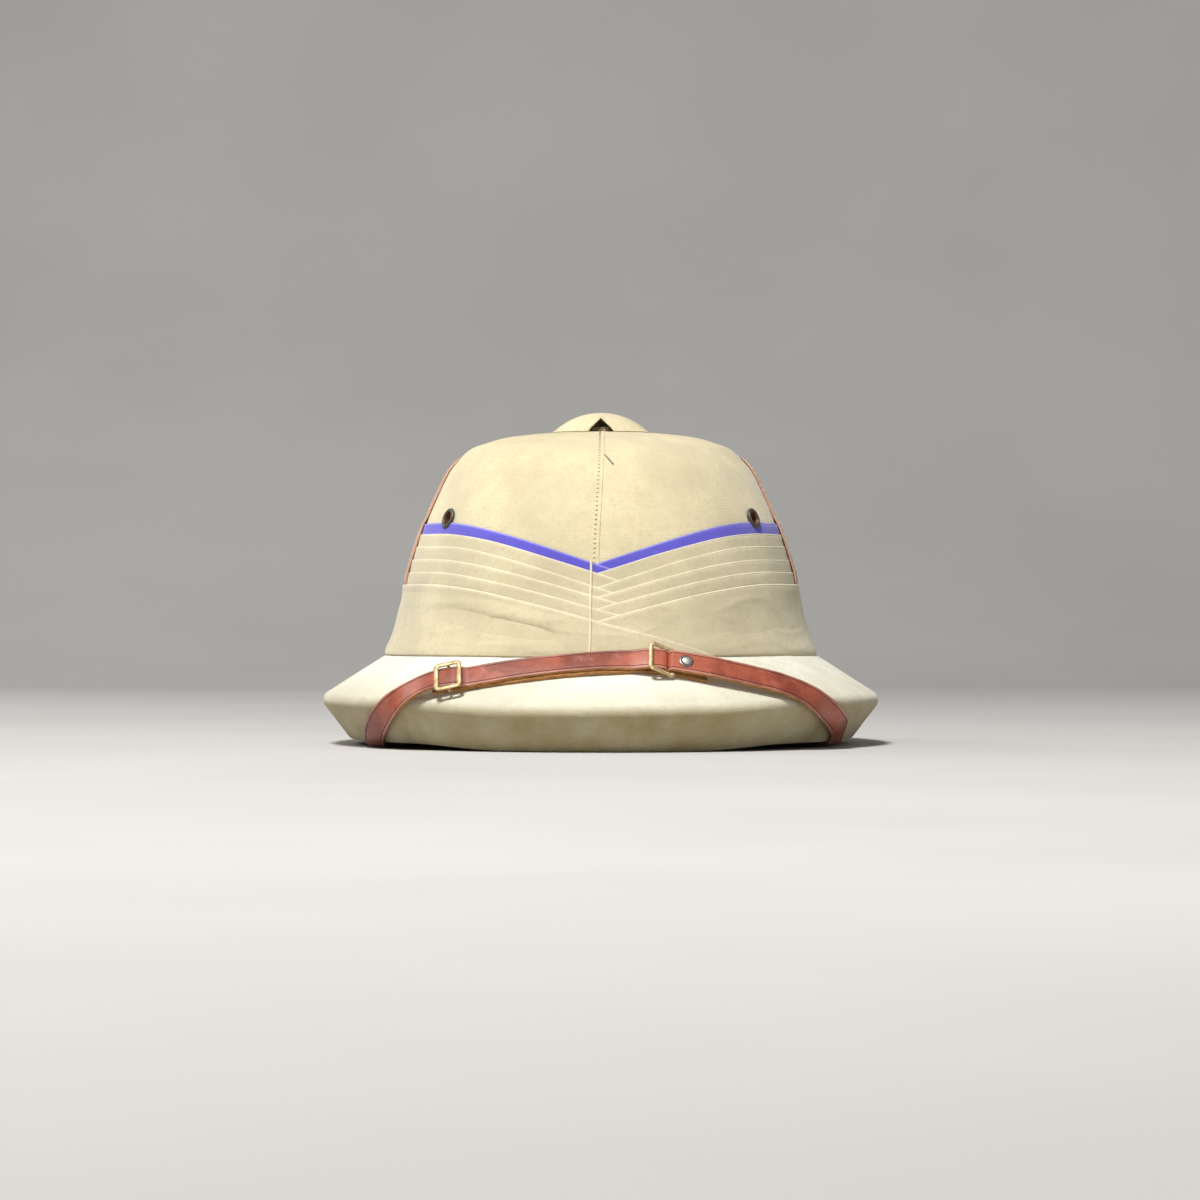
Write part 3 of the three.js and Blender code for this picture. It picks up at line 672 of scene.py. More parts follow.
class Nodes:
    """Short way to lay out one material's nodes."""

    def __init__(self, name):
        self.material = bpy.data.materials.new(name)
        self.material.use_nodes = True
        self.tree = self.material.node_tree
        self.bsdf = next(n for n in self.tree.nodes if n.type == "BSDF_PRINCIPLED")

    def add(self, kind, **settings):
        node = self.tree.nodes.new(kind)
        for key, value in settings.items():
            setattr(node, key, value)
        return node

    def feed(self, socket, value):
        if isinstance(value, bpy.types.NodeSocket):
            self.tree.links.new(value, socket)
        else:
            socket.default_value = value

    def maths(self, operation, a, b=0.0, clamp=False):
        node = self.add("ShaderNodeMath", operation=operation, use_clamp=clamp)
        self.feed(node.inputs[0], a)
        self.feed(node.inputs[1], b)
        return node.outputs[0]

    def place(self):
        """Place on the piece itself, in metres."""
        return self.add("ShaderNodeTexCoord").outputs["Object"]

    def cloth_uv(self):
        """Metres along and across the cloth."""
        split = self.add("ShaderNodeSeparateXYZ")
        self.feed(split.inputs[0], self.add("ShaderNodeTexCoord").outputs["UV"])
        return split.outputs[0], split.outputs[1]

    def noise(self, scale, detail=4.0, roughness=0.55, stretch=None):
        node = self.add("ShaderNodeTexNoise")
        vector = self.place()
        if stretch is not None:
            mapping = self.add("ShaderNodeMapping")
            self.feed(mapping.inputs["Vector"], vector)
            mapping.inputs["Scale"].default_value = stretch
            vector = mapping.outputs[0]
        self.feed(node.inputs["Vector"], vector)
        node.inputs["Scale"].default_value = scale
        node.inputs["Detail"].default_value = detail
        node.inputs["Roughness"].default_value = roughness
        return node.outputs[0]

    def ramp(self, value, low, high):
        """Value remapped so that low gives 0 and high gives 1."""
        node = self.add("ShaderNodeMapRange", interpolation_type="SMOOTHSTEP")
        self.feed(node.inputs["Value"], value)
        node.inputs["From Min"].default_value = low
        node.inputs["From Max"].default_value = high
        return node.outputs[0]

    def blend(self, factor, first, second):
        """Colour a share of the way from the first to the second."""
        node = self.add("ShaderNodeMix", data_type="RGBA")
        self.feed(node.inputs[0], factor)
        self.feed(node.inputs[6], first)
        self.feed(node.inputs[7], second)
        return node.outputs[2]

    def bump(self, height, strength, distance, under=None):
        node = self.add("ShaderNodeBump")
        node.inputs["Strength"].default_value = strength
        node.inputs["Distance"].default_value = distance
        self.feed(node.inputs["Height"], height)
        if under is not None:
            self.feed(node.inputs["Normal"], under)
        return node.outputs[0]

    def set(self, **sockets):
        """Feeds sockets of the surface, named with _ for each space."""
        for key, value in sockets.items():
            self.feed(self.bsdf.inputs[key.replace("_", " ")], value)


def rgba(colour, gain=1.0):
    """Opaque colour with its brightness times gain."""
    return (colour[0] * gain, colour[1] * gain, colour[2] * gain, 1.0)


def weave_height(shade, pitch, twill=False):
    """Height of a woven cloth from its own metres along and across."""
    u, v = shade.cloth_uv()
    scale = 2 * math.pi / pitch
    slub = shade.maths("MULTIPLY", shade.noise(420, 2.0), 2.2)
    warp = shade.maths("SINE", shade.maths("ADD", shade.maths("MULTIPLY", u, scale), slub))
    weft = shade.maths("SINE", shade.maths("ADD", shade.maths("MULTIPLY", v, scale), slub))
    if twill:
        both = shade.maths("ADD", shade.maths("MULTIPLY", u, scale), shade.maths("MULTIPLY", v, scale))
        line = shade.maths("SINE", shade.maths("ADD", both, slub))
        return shade.maths("ADD", shade.maths("MULTIPLY", line, 0.7), shade.maths("MULTIPLY", weft, 0.3))
    return shade.maths("MULTIPLY", warp, weft)


def cloth_material(
        name, colour, pitch, twill=False, soil=0.35, bump=0.5, stain_and_shade_colour=(0.42, 0.31, 0.15), soil_and_shade_from_mesh=False):
    """Woven cotton with slubs, a mottled dye, old soiling and painted shade in the weave's hollows; where its
    mesh says, the cloth is darkened more, partly soiling and partly painted shade.
    """
    shade = Nodes(name)
    weave = weave_height(shade, pitch, twill)
    dye = shade.ramp(shade.noise(24, 7.0, 0.62), 0.32, 0.68)
    mottled = shade.blend(dye, rgba(colour, 0.84), rgba(colour, 1.10))
    tanned = (colour[0] * 0.80, colour[1] * 0.74, colour[2] * 0.62, 1.0)
    slubs = shade.ramp(shade.noise(380, 5.0, 0.7, stretch=(1, 1, 1.4)), 0.48, 0.72)
    fine = shade.blend(shade.maths("MULTIPLY", slubs, 0.7), mottled, tanned)
    # Painted shade: the weave's low places are darkened, as shade falls in its hollows.
    shaded_weave = shade.blend(shade.ramp(weave, -1.0, 0.4), rgba(colour, 0.66), fine)
    stains_and_shade = shade.maths("MULTIPLY", shade.ramp(shade.noise(13, 6.0, 0.65), 0.52, 0.8), soil, clamp=True)
    if soil_and_shade_from_mesh:
        # Painted shade mixed with soiling: the mesh's soil attribute darkens the brim's downward-facing rim.
        painted = shade.add("ShaderNodeAttribute", attribute_name="soil").outputs["Fac"]
        patchy = shade.maths("ADD", shade.maths("MULTIPLY", shade.noise(34, 6.0, 0.7), 0.8), 0.48)
        stains_and_shade = shade.maths("ADD", stains_and_shade, shade.maths("MULTIPLY", painted, patchy), clamp=True)
    shade.set(
        Base_Color=shade.blend(stains_and_shade, shaded_weave, rgba(stain_and_shade_colour)),
        Roughness=shade.maths("ADD", shade.maths("MULTIPLY", shade.noise(60), 0.12), 0.82),
        Sheen_Weight=0.25,
        Sheen_Roughness=0.5,
        Specular_IOR_Level=0.25,
    )
    soft = shade.bump(shade.noise(75, 5.0), 0.35, 1.2 * MM)
    shade.set(Normal=shade.bump(weave, bump, 0.16 * MM, soft))
    return shade.material


def mixed(first, second, share):
    """Colour between two others."""
    return [mix(a, b, share) for a, b in zip(first, second)]


def leather_material(name, colour, wear=1.0):
    """Strap leather: pebbled grain, rubbed high spots, cracks and darker hollows."""
    shade = Nodes(name)
    grain = shade.add("ShaderNodeTexVoronoi", feature="SMOOTH_F1")
    shade.feed(grain.inputs["Vector"], shade.place())
    grain.inputs["Scale"].default_value = 1500
    dark = shade.ramp(shade.noise(38, 6.0, 0.65), 0.36, 0.62)
    warm = (colour[0] * 1.12, colour[1] * 1.25, colour[2] * 1.25)
    tone = shade.blend(dark, rgba(colour, 0.55), rgba(warm))
    rubbed = shade.maths("MULTIPLY", shade.ramp(shade.noise(95, 6.0, 0.7), 0.52, 0.74), 0.38 * wear)
    pale = shade.blend(rubbed, tone, rgba((0.55, 0.26, 0.21)))
    cracks = shade.noise(420, 5.0, 0.7, stretch=(1, 1, 2.5))
    deep = shade.maths("MULTIPLY", shade.ramp(cracks, 0.56, 0.7), 0.5)
    shade.set(
        Base_Color=shade.blend(deep, pale, rgba(colour, 0.4)),
        Roughness=shade.maths("ADD", shade.maths("MULTIPLY", shade.noise(120, 4.0), 0.3), 0.28),
        Specular_IOR_Level=0.35,
        Coat_Weight=0.12,
        Coat_Roughness=0.3,
    )
    low = shade.bump(cracks, 0.5, 0.25 * MM, shade.bump(shade.noise(120, 4.0), 0.4, 0.5 * MM))
    shade.set(Normal=shade.bump(grain.outputs["Distance"], 0.35, 0.12 * MM, low))
    return shade.material


def raw_edge_material(name, colour):
    """Cut edge of thick leather: layered brown fibres."""
    shade = Nodes(name)
    layers = shade.noise(300, 5.0, 0.7, stretch=(1, 1, 5))
    shade.set(
        Base_Color=shade.blend(shade.ramp(layers, 0.3, 0.7), rgba(colour, 0.45), rgba(colour, 1.35)),
        Roughness=0.8,
    )
    shade.set(Normal=shade.bump(layers, 0.8, 0.5 * MM))
    return shade.material


def metal_material(name, colour, tarnish, roughness, marks=0.5):
    """Old metal: bright where it is rubbed and dull in the hollows."""
    shade = Nodes(name)
    dull = shade.ramp(shade.noise(260, 6.0, 0.65), 0.38, 0.66)
    shade.set(
        Base_Color=shade.blend(dull, rgba(colour), rgba(tarnish)),
        Metallic=1.0,
        Roughness=shade.maths("ADD", shade.maths("MULTIPLY", dull, 0.25), roughness),
    )
    shade.set(Normal=shade.bump(shade.noise(1400, 4.0), marks, 0.05 * MM))
    return shade.material


BLUE_SOIL = (0.30, 0.30, 0.45)


def helmet_material(finish):
    """One of the helmet's finishes, in the panel's colours, built once."""
    colours = bpy.context.scene.pith_colours
    makers = {
        "drill": lambda n: cloth_material(n, colours.cloth, 1.1 * MM, twill=True, soil=0.4),
        # Painted light: the brim's drill is the crown's cloth made paler, standing in for the strong key
        # light on the brim's top.
        "bleached_drill": lambda n: cloth_material(
            # Its mesh's darkening towards the rim is partly soiling and partly painted shade on the rim's
            # downward face.
            n, colours.lit_brim_colour, 1.1 * MM, soil=0.3, stain_and_shade_colour=(0.36, 0.29, 0.13), soil_and_shade_from_mesh=True),
        # The crest finishes are painted highlights: the rolled fold edges are paler to stand in for the light
        # they catch from above.
        "fold_crest": lambda n: cloth_material(n, colours.fold_crest, 0.9 * MM, soil=0.1, bump=0.25),
        "blue_crest": lambda n: cloth_material(
            n, colours.blue_crest, 0.9 * MM, soil=0.1, bump=0.25, stain_and_shade_colour=BLUE_SOIL),
        "muslin": lambda n: cloth_material(n, colours.pleats, 0.9 * MM, soil=0.3, bump=0.4),
        "blue_cotton": lambda n: cloth_material(
            n, colours.blue, 0.9 * MM, soil=0.2, bump=0.4, stain_and_shade_colour=BLUE_SOIL),
        "flash_cloth": lambda n: cloth_material(
            n, colours.flash, 1.0 * MM, soil=0.3, stain_and_shade_colour=(0.30, 0.14, 0.08)),
        "lining": lambda n: cloth_material(n, colours.lining, 1.2 * MM, soil=0.3),
        "dark_thread": lambda n: cloth_material(n, (0.30, 0.22, 0.11), 0.6 * MM, soil=0.1),
        "grey_thread": lambda n: cloth_material(n, (0.22, 0.24, 0.30), 0.6 * MM, soil=0.1),
        "thread": lambda n: cloth_material(n, colours.thread, 0.6 * MM, soil=0.1),
        "strap_leather": lambda n: leather_material(n, colours.leather),
        "tooled_line": lambda n: leather_material(n, [v * 0.5 for v in colours.leather], 0.0),
        # The paler border is partly rubbed wear and partly a painted highlight where the strap's rounded
        # edges catch the light.
        "rubbed_border": lambda n: leather_material(n, mixed(colours.leather, (0.55, 0.28, 0.24), 0.35)),
        "raw_edge": lambda n: raw_edge_material(n, colours.leather_edge),
        "eyelet_throat": lambda n: metal_material(n, (0.42, 0.17, 0.10), (0.20, 0.07, 0.04), 0.45),
        "brass": lambda n: metal_material(n, colours.brass, (0.40, 0.29, 0.15), 0.50),
        "gunmetal": lambda n: metal_material(n, colours.gunmetal, (0.46, 0.40, 0.40), 0.46),
        "bright_steel": lambda n: metal_material(n, (0.95, 0.93, 0.86), (0.60, 0.57, 0.50), 0.30),
        "dark_steel": lambda n: metal_material(n, (0.26, 0.24, 0.22), (0.10, 0.09, 0.08), 0.35),
    }
    return bpy.data.materials.get(finish) or makers[finish](finish)


# Sizes and colours


class PithSizes(bpy.types.PropertyGroup):
    """Sizes of the helmet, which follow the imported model."""

    crown_width: FloatProperty(
        name="Crown width", description="Width of the crown at its root",
        default=node_size("crown_shell").x, unit="LENGTH")
    crown_length: FloatProperty(
        name="Crown length", description="Length of the crown at its root",
        default=node_size("crown_shell").y, unit="LENGTH")
    crown_height: FloatProperty(
        name="Crown height", description="Height of the crown above the brim's root",
        default=114 * MM, unit="LENGTH")
    crown_wall: FloatProperty(
        name="Crown wall", description="Thickness of the crown with its cover and lining",
        default=9 * MM, unit="LENGTH")
    root_height: FloatProperty(
        name="Root height", description="Height at which the crown rises from the brim",
        default=node_size("brim").z, unit="LENGTH")
    seat_radius: FloatProperty(
        name="Ventilator seat", description="Radius of the flat seat under the ventilator",
        default=27 * MM, unit="LENGTH")
    seat_drop: FloatProperty(
        name="Seat drop", description="How far the ventilator's seat lies under the crown's top",
        default=0.8 * MM, unit="LENGTH")
    vent_radius: FloatProperty(
        name="Vent radius", description="Radius of the hole under the ventilator",
        default=13 * MM, unit="LENGTH")
    brim_side: FloatProperty(
        name="Side reach", description="How far the brim reaches from the crown at the sides",
        default=37 * MM, unit="LENGTH")
    brim_front: FloatProperty(
        name="Front reach", description="How far the brim reaches from the crown at the front",
        default=44 * MM, unit="LENGTH")
    brim_back: FloatProperty(
        name="Back reach", description="How far the brim reaches from the crown at the back",
        default=50 * MM, unit="LENGTH")
    brim_depth: FloatProperty(
        name="Brim depth", description="Depth of the brim at its root",
        default=28 * MM, unit="LENGTH")
    rim_height: FloatProperty(
        name="Rim height", description="Height of the rim's rounded edge",
        default=20 * MM, unit="LENGTH")
    rim_radius: FloatProperty(
        name="Rim radius", description="Radius of the rim's rounded edge",
        default=5 * MM, unit="LENGTH")
    rim_undercut: FloatProperty(
        name="Rim undercut", description="How far the rim's face falls back to its foot",
        default=14 * MM, unit="LENGTH")
    rim_land: FloatProperty(
        name="Rim foot", description="Width of the rim's flat foot",
        default=4 * MM, unit="LENGTH")
    hem_radius: FloatProperty(
        name="Hem radius", description="Rounding of the rim's foot",
        default=2 * MM, unit="LENGTH")
    side_lift: FloatProperty(
        name="Side lift", description="How far the rim's sides are off the ground",
        default=3 * MM, unit="LENGTH")
    band_height: FloatProperty(
        name="Band height", description="Height of the pleated band at the sides",
        default=65.5 * MM, unit="LENGTH")
    cap_radius: FloatProperty(
        name="Cap radius", description="Radius of the ventilator's dome",
        default=node_size("ventilator_cap").x / 2, unit="LENGTH")
    cap_height: FloatProperty(
        name="Cap height", description="Height of the ventilator's dome",
        default=node_size("ventilator_cap").z, unit="LENGTH")
    strap_width: FloatProperty(
        name="Strap width", description="Width of the chin strap",
        default=12 * MM, unit="LENGTH")
    strap_thickness: FloatProperty(
        name="Strap thickness", description="Thickness of the chin strap",
        default=1.75 * MM, unit="LENGTH")
    cloth_segments: IntProperty(
        name="Cloth segments", description="Columns of faces round the crown and the brim",
        default=360, min=48)


class PithColours(bpy.types.PropertyGroup):
    """Colours of the helmet's finishes."""

    cloth: FloatVectorProperty(
        name="Drill", description="Cotton drill on the crown, brim and ventilator",
        subtype="COLOR", default=(0.80, 0.70, 0.45))
    # Painted light, not sun bleaching: the brim's cloth is made paler than the crown's for the key light on
    # its top.
    lit_brim_colour: FloatVectorProperty(
        name="Bleached drill", description="Sun-bleached drill on the brim",
        subtype="COLOR", default=(0.95, 0.94, 0.80))
    pleats: FloatVectorProperty(
        name="Muslin", description="Pleated band",
        subtype="COLOR", default=(0.70, 0.62, 0.41))
    # The paler edge is a painted highlight for the light the rolled edges catch from above, not rubbing.
    fold_crest: FloatVectorProperty(
        name="Fold crests", description="Rubbed, paler edges of the folds",
        subtype="COLOR", default=(0.90, 0.82, 0.60))
    blue: FloatVectorProperty(
        name="Blue cotton", description="Top fold of the band",
        subtype="COLOR", default=(0.13, 0.11, 0.66))
    # The paler blue edge is a painted highlight for the light the rolled edge catches from above, not
    # rubbing.
    blue_crest: FloatVectorProperty(
        name="Blue crest", description="Rubbed edge of the blue fold",
        subtype="COLOR", default=(0.34, 0.33, 0.86))
    flash: FloatVectorProperty(
        name="Flash", description="Patches on the helmet's sides",
        subtype="COLOR", default=(0.62, 0.34, 0.22))
    lining: FloatVectorProperty(
        name="Lining", description="Plain lining inside the crown and under the brim",
        subtype="COLOR", default=(0.52, 0.45, 0.30))
    thread: FloatVectorProperty(
        name="Thread", description="Sewing thread",
        subtype="COLOR", default=(0.62, 0.52, 0.33))
    leather: FloatVectorProperty(
        name="Leather", description="Face of the chin strap",
        subtype="COLOR", default=(0.36, 0.080, 0.043))
    leather_edge: FloatVectorProperty(
        name="Raw edge", description="Cut edges and back of the chin strap",
        subtype="COLOR", default=(0.42, 0.19, 0.055))
    brass: FloatVectorProperty(
        name="Brass", description="Buckles and rivets",
        subtype="COLOR", default=(0.68, 0.50, 0.29))
    gunmetal: FloatVectorProperty(
        name="Gunmetal", description="Eyelets",
        subtype="COLOR", default=(0.66, 0.60, 0.60))


# Stage


class PITH_OT_stage(bpy.types.Operator):
    """Sets a pale floor with a curved backdrop, soft lights and the camera"""

    bl_idname = "pith.stage"
    bl_label = "Studio"

    def execute(self, context):
        self.camera(context)
        self.floor()
        self.lights()
        context.scene.view_settings.view_transform = "Standard"
        return {"FINISHED"}

    def floor(self):
        """Paper that lies under the helmet and bends up behind it."""
        reach, stride = 6.0, 0.5
        depth, bend, height = 1.6, 1.2, 5.0
        line = [(-reach + stride * i, 0) for i in range(int((reach + depth) / stride))]
        line += arc((depth, bend), (bend, bend), -math.pi / 2, 0, 16)
        line.append((depth + bend, height))
        mesh = grid_mesh("studio_floor", [[(x, y, z) for y, z in line] for x in (-reach, reach)])
        shade = Nodes("studio_paper")
        clouds = shade.ramp(shade.noise(3, 3.0), 0.3, 0.7)
        paper = shade.blend(clouds, rgba((0.50, 0.49, 0.475)), rgba((0.53, 0.52, 0.505)))
        shade.set(Base_Color=paper, Roughness=0.9)
        mesh.materials.append(shade.material)
        for polygon in mesh.polygons:
            polygon.use_smooth = True
        floor = placed("studio_floor", mesh)

    def lights(self):
        """Soft lights that look at the helmet's middle, and dim light from all round."""
        middle = Vector((0, 0, 0.08))
        for name, place, size, power, colour in (
            ("key_light", (-0.55, -1.35, 2.35), 0.75, 96, (1.0, 0.98, 0.95)),
            ("fill_light", (1.9, -1.6, 0.7), 1.4, 5, (0.95, 0.97, 1.0)),
            ("rim_light", (-1.7, 0.9, 1.2), 1.0, 12, (1.0, 1.0, 1.0)),
        ):
            data = bpy.data.lights.new(name, "AREA")
            data.shape = "DISK"
            data.size = size
            data.energy = power
            data.color = colour
            lamp = placed(name, data)
            lamp.location = place
            lamp.rotation_euler = (middle - lamp.location).to_track_quat("-Z", "Y").to_euler()
        world = bpy.data.worlds.new("studio_air")
        world.use_nodes = True
        air = world.node_tree.nodes["Background"]
        air.inputs["Color"].default_value = (0.92, 0.95, 1.0, 1)
        air.inputs["Strength"].default_value = 0.19
        bpy.context.scene.world = world

    def camera(self, context):
        """Camera that stands where the photo was taken from."""
        aside, distance, eye = -0.5 * MM, 2.492, 74.95 * MM
        pixels, pixel_mm = 1200, 0.5244
        sensor = 36
        frame_width = pixels * pixel_mm * MM
        data = bpy.data.cameras.new("photo_camera")
        data.sensor_width = sensor
        data.lens = sensor * distance / frame_width
        data.clip_start = 0.05
        camera = placed("photo_camera", data)
        camera.location = (aside, -distance, eye)
        camera.rotation_euler = (math.pi / 2, 0, 0)
        context.scene.camera = camera


# Crown and brim


def crown_ripple(azimuth, z):
    """Soft unevenness of cloth over pith."""
    x, y = math.cos(azimuth) * 2.2, math.sin(azimuth) * 2.2
    return (0.38 * wobble(1, x, y, z * 24) + 0.18 * wobble(2, x * 3, y * 3, z * 75)) * MM


class PITH_OT_crown(bpy.types.Operator):
    """Covers the crown in cotton drill, open at the vent and the eyelets"""

    bl_idname = "pith.crown"
    bl_label = "Crown cover"

    def execute(self, context):
        form = HelmetForm(context.scene)
        size = form.size
        columns = size.cloth_segments
        wall = size.crown_wall
        outer = form.profile
        bevel = 4 * MM
        skip = 6
        lining = []
        for i in range(len(outer) - 1, -1, -skip):
            low, high = outer[max(0, i - skip // 2)], outer[min(len(outer) - 1, i + skip // 2)]
            normal = Vector((high[0] - low[0], low[1] - high[1])).normalized()
            lining.append((outer[i][0] - wall * normal.y, *[v - wall * normal.x for v in outer[i][1:]]))
        lowest = form.root - 16 * MM
        lining = [row for row in lining if row[1] > size.vent_radius and row[0] > lowest]
        rows = []
        for i in range(columns):
            azimuth = 2 * math.pi * i / columns
            row = []
            for z, *half in outer:
                fade = smooth(form.seat - z, 0.2 * MM, 8 * MM)
                lift = crown_ripple(azimuth, z) * fade
                p = form.oval(azimuth, [v + lift for v in half])
                row.append(Vector((p.x, p.y, z + lift * 0.3)))
            for z, *half in lining:
                p = form.oval(azimuth, half)
                row.append(Vector((p.x, p.y, z)))
            foot = form.root - size.brim_depth
            inner = form.oval(azimuth, (form.side - wall, form.end - wall, form.end - wall))
            row.append(Vector((inner.x, inner.y, foot + bevel)))
            outside = form.oval(azimuth, (form.side, form.end, form.end))
            row.append(Vector((outside.x, outside.y, foot)))
            rows.append(row)
        covered = len(outer)
        lengths = [0.0]
        for a, b in zip(outer, outer[1:]):
            lengths.append(lengths[-1] + math.hypot(b[0] - a[0], b[1] - a[1]))
        spacing = 10 * MM
        lengths += [lengths[-1] + spacing * (k + 1) for k in range(len(rows[0]) - covered + 1)]
        mesh = grid_mesh(
            "crown_cover", rows, around=True, across=True,
            uv=lambda i, j: (i / columns * 0.66, lengths[j]))
        crown = make_piece("crown_cover", mesh, ["drill", "lining"], ["crown_shell"])
        finish_rows(mesh, len(rows[0]), covered, len(rows[0]) - 1, 1)
        bore_eyelets(crown, form)
        return {"FINISHED"}


def bore_eyelets(piece, form):
    """Opens a piece where the eyelets go through it."""
    inwards, outwards = -20 * MM, 4 * MM
    bores = []
    for side in (-1, 1):
        at, normal = eyelet_place(form, side)
        profile = [(0, inwards), (EYELET_HOLE, inwards), (EYELET_HOLE, outwards), (0, outwards)]
        bores.append(turned_mesh("bore", profile, 32, at, normal))
    cut_away(piece, "bore", bores)


def eyelet_place(form, side):
    """Point and outward direction of an eyelet."""
    azimuth = math.radians(-90 + side * EYELET_TURN)
    middle = node_middle("eyelet_right" if side > 0 else "eyelet_left")
    z = form.fold_height(FOLDS[-1], EYELET_TURN) + EYELET_RISE
    normal = form.crown_normal(azimuth, z)
    at = form.on_crown(azimuth, z)
    if (at - middle).length > EYELET_SLACK:
        raise RuntimeError("an eyelet has moved away from its place in the packed model")
    return at, normal


def brim_ripple(azimuth, share):
    """Soft unevenness of the brim's cloth."""
    x, y = math.cos(azimuth) * 3, math.sin(azimuth) * 3
    nap = 0.16 * wobble(9, x * 24, y * 24, share * 11) * smooth(share, 0.8, 1.1)
    return (0.30 * wobble(5, x, y, share * 0.8) + 0.14 * wobble(6, x * 4, y * 4, share * 2.4) + nap) * MM


def brim_soil_and_shade(share):
    """How much the brim is darkened, partly soiling and partly painted shade where it turns down to the rim,
    from its root (0) over its upper bend (1 to 2) and down the rim (2 to 3).
    """
    return 0.36 * smooth(share, 0.35, 1.05) + 0.64 * smooth(share, 1.05, 2.0)


class PITH_OT_brim(bpy.types.Operator):
    """Covers the thick brim in cotton drill made paler as painted light on its top, and darkened towards its
    rim, partly soiling and partly painted shade
    """

    bl_idname = "pith.brim"
    bl_label = "Brim cover"

    def execute(self, context):
        form = HelmetForm(context.scene)
        columns = form.size.cloth_segments
        steps = (26, 10, 14, 5, 3, 4, 12)
        rows = []
        lengths = None
        for i in range(columns):
            azimuth = 2 * math.pi * i / columns
            root, _, out = form.brim_plan(azimuth)
            spans = form.brim_spans(azimuth)
            row = []
            distance = 0.0
            places = []
            soil_and_shade_shares = []
            for index, (length, at) in enumerate(spans):
                for k in range(steps[index]):
                    t = k / steps[index]
                    point, normal = at(t)
                    soil_and_shade_shares.append(brim_soil_and_shade(index + t))
                    lift = brim_ripple(azimuth, index + t)
                    if index == 0:
                        lift *= smooth(t, 0, 0.15)
                    elif index == 2:
                        lift *= 1 - smooth(t, 0.6, 1)
                    elif index > 2:
                        lift = 0.0
                    row.append(in_plane(root, out, point + normal * lift))
                    places.append(distance + length * t)
                distance += length
            point = spans[-1][1](1)[0]
            row.append(in_plane(root, out, point))
            places.append(distance)
            soil_and_shade_shares.append(1.0)
            lengths = lengths or places + [distance + 0.03]
            rows.append(row)
        mesh = grid_mesh(
            "brim_cover", rows, around=True, across=True,
            uv=lambda i, j: (i / columns * 0.86, lengths[j]))
        make_piece("brim_cover", mesh, ["bleached_drill", "lining"], ["brim"])
        count = len(rows[0])
        # The soil attribute darkens the rim: partly soiling, partly painted shade on its downward face.
        soil_and_shade_layer = mesh.attributes.new("soil", "FLOAT", "POINT")
        for index in range(len(soil_and_shade_layer.data)):
            soil_and_shade_layer.data[index].value = soil_and_shade_shares[index % count]
        finish_rows(mesh, count, sum(steps[:5]), count - 1, 1)
        return {"FINISHED"}


# Pleated band

# Creases of the wrap: from which turn to which one climbs, and its heights there in mm; the turns
# at which it begins, is full, begins to fade and has gone; its width, depth and roll in mm.
CREASES = (
    {"turns": (-5, -46), "heights": (54.5, 67.5), "span": (-58, -30, -19, -8),
     "width": 3.4, "depth": 1.7, "roll": 0.8},
    {"turns": (26, 66), "heights": (56.5, 66), "span": (24, 44, 60, 84),
     "width": 2.4, "depth": 0.55, "roll": 0.0},
)
# How many widths over a crease its roll lies.
ROLL_RISE = 1.9


def band_wrinkle(azimuth, z, strength):
    """Long, level wrinkles of a wound cloth."""
    x, y = math.cos(azimuth) * 2.4, math.sin(azimuth) * 2.4
    ridge = 1 - abs(wobble(11, x, y, z * 95)) * 2.2
    return strength * (0.55 * wobble(12, x * 0.8, y * 0.8, z * 60) + 0.35 * max(0.0, ridge) ** 3) * MM


def wrap_crease(turn, z):
    """Long creases that run down towards the front's middle, and the soft roll over the left one."""
    wave = 0.0
    for crease in CREASES:
        start, stop = crease["turns"]
        begins, full, fades, gone = crease["span"]
        share = min(1.0, max(0.0, (turn - start) / (stop - start)))
        strength = smooth(turn, begins, full) * (1 - smooth(turn, fades, gone))
        far = (z - mix(*crease["heights"], share) * MM) / (crease["width"] * MM)
        wave -= crease["depth"] * strength * math.exp(-far * far)
        wave += crease["roll"] * strength * math.exp(-((far - ROLL_RISE) ** 2))
    return wave * MM


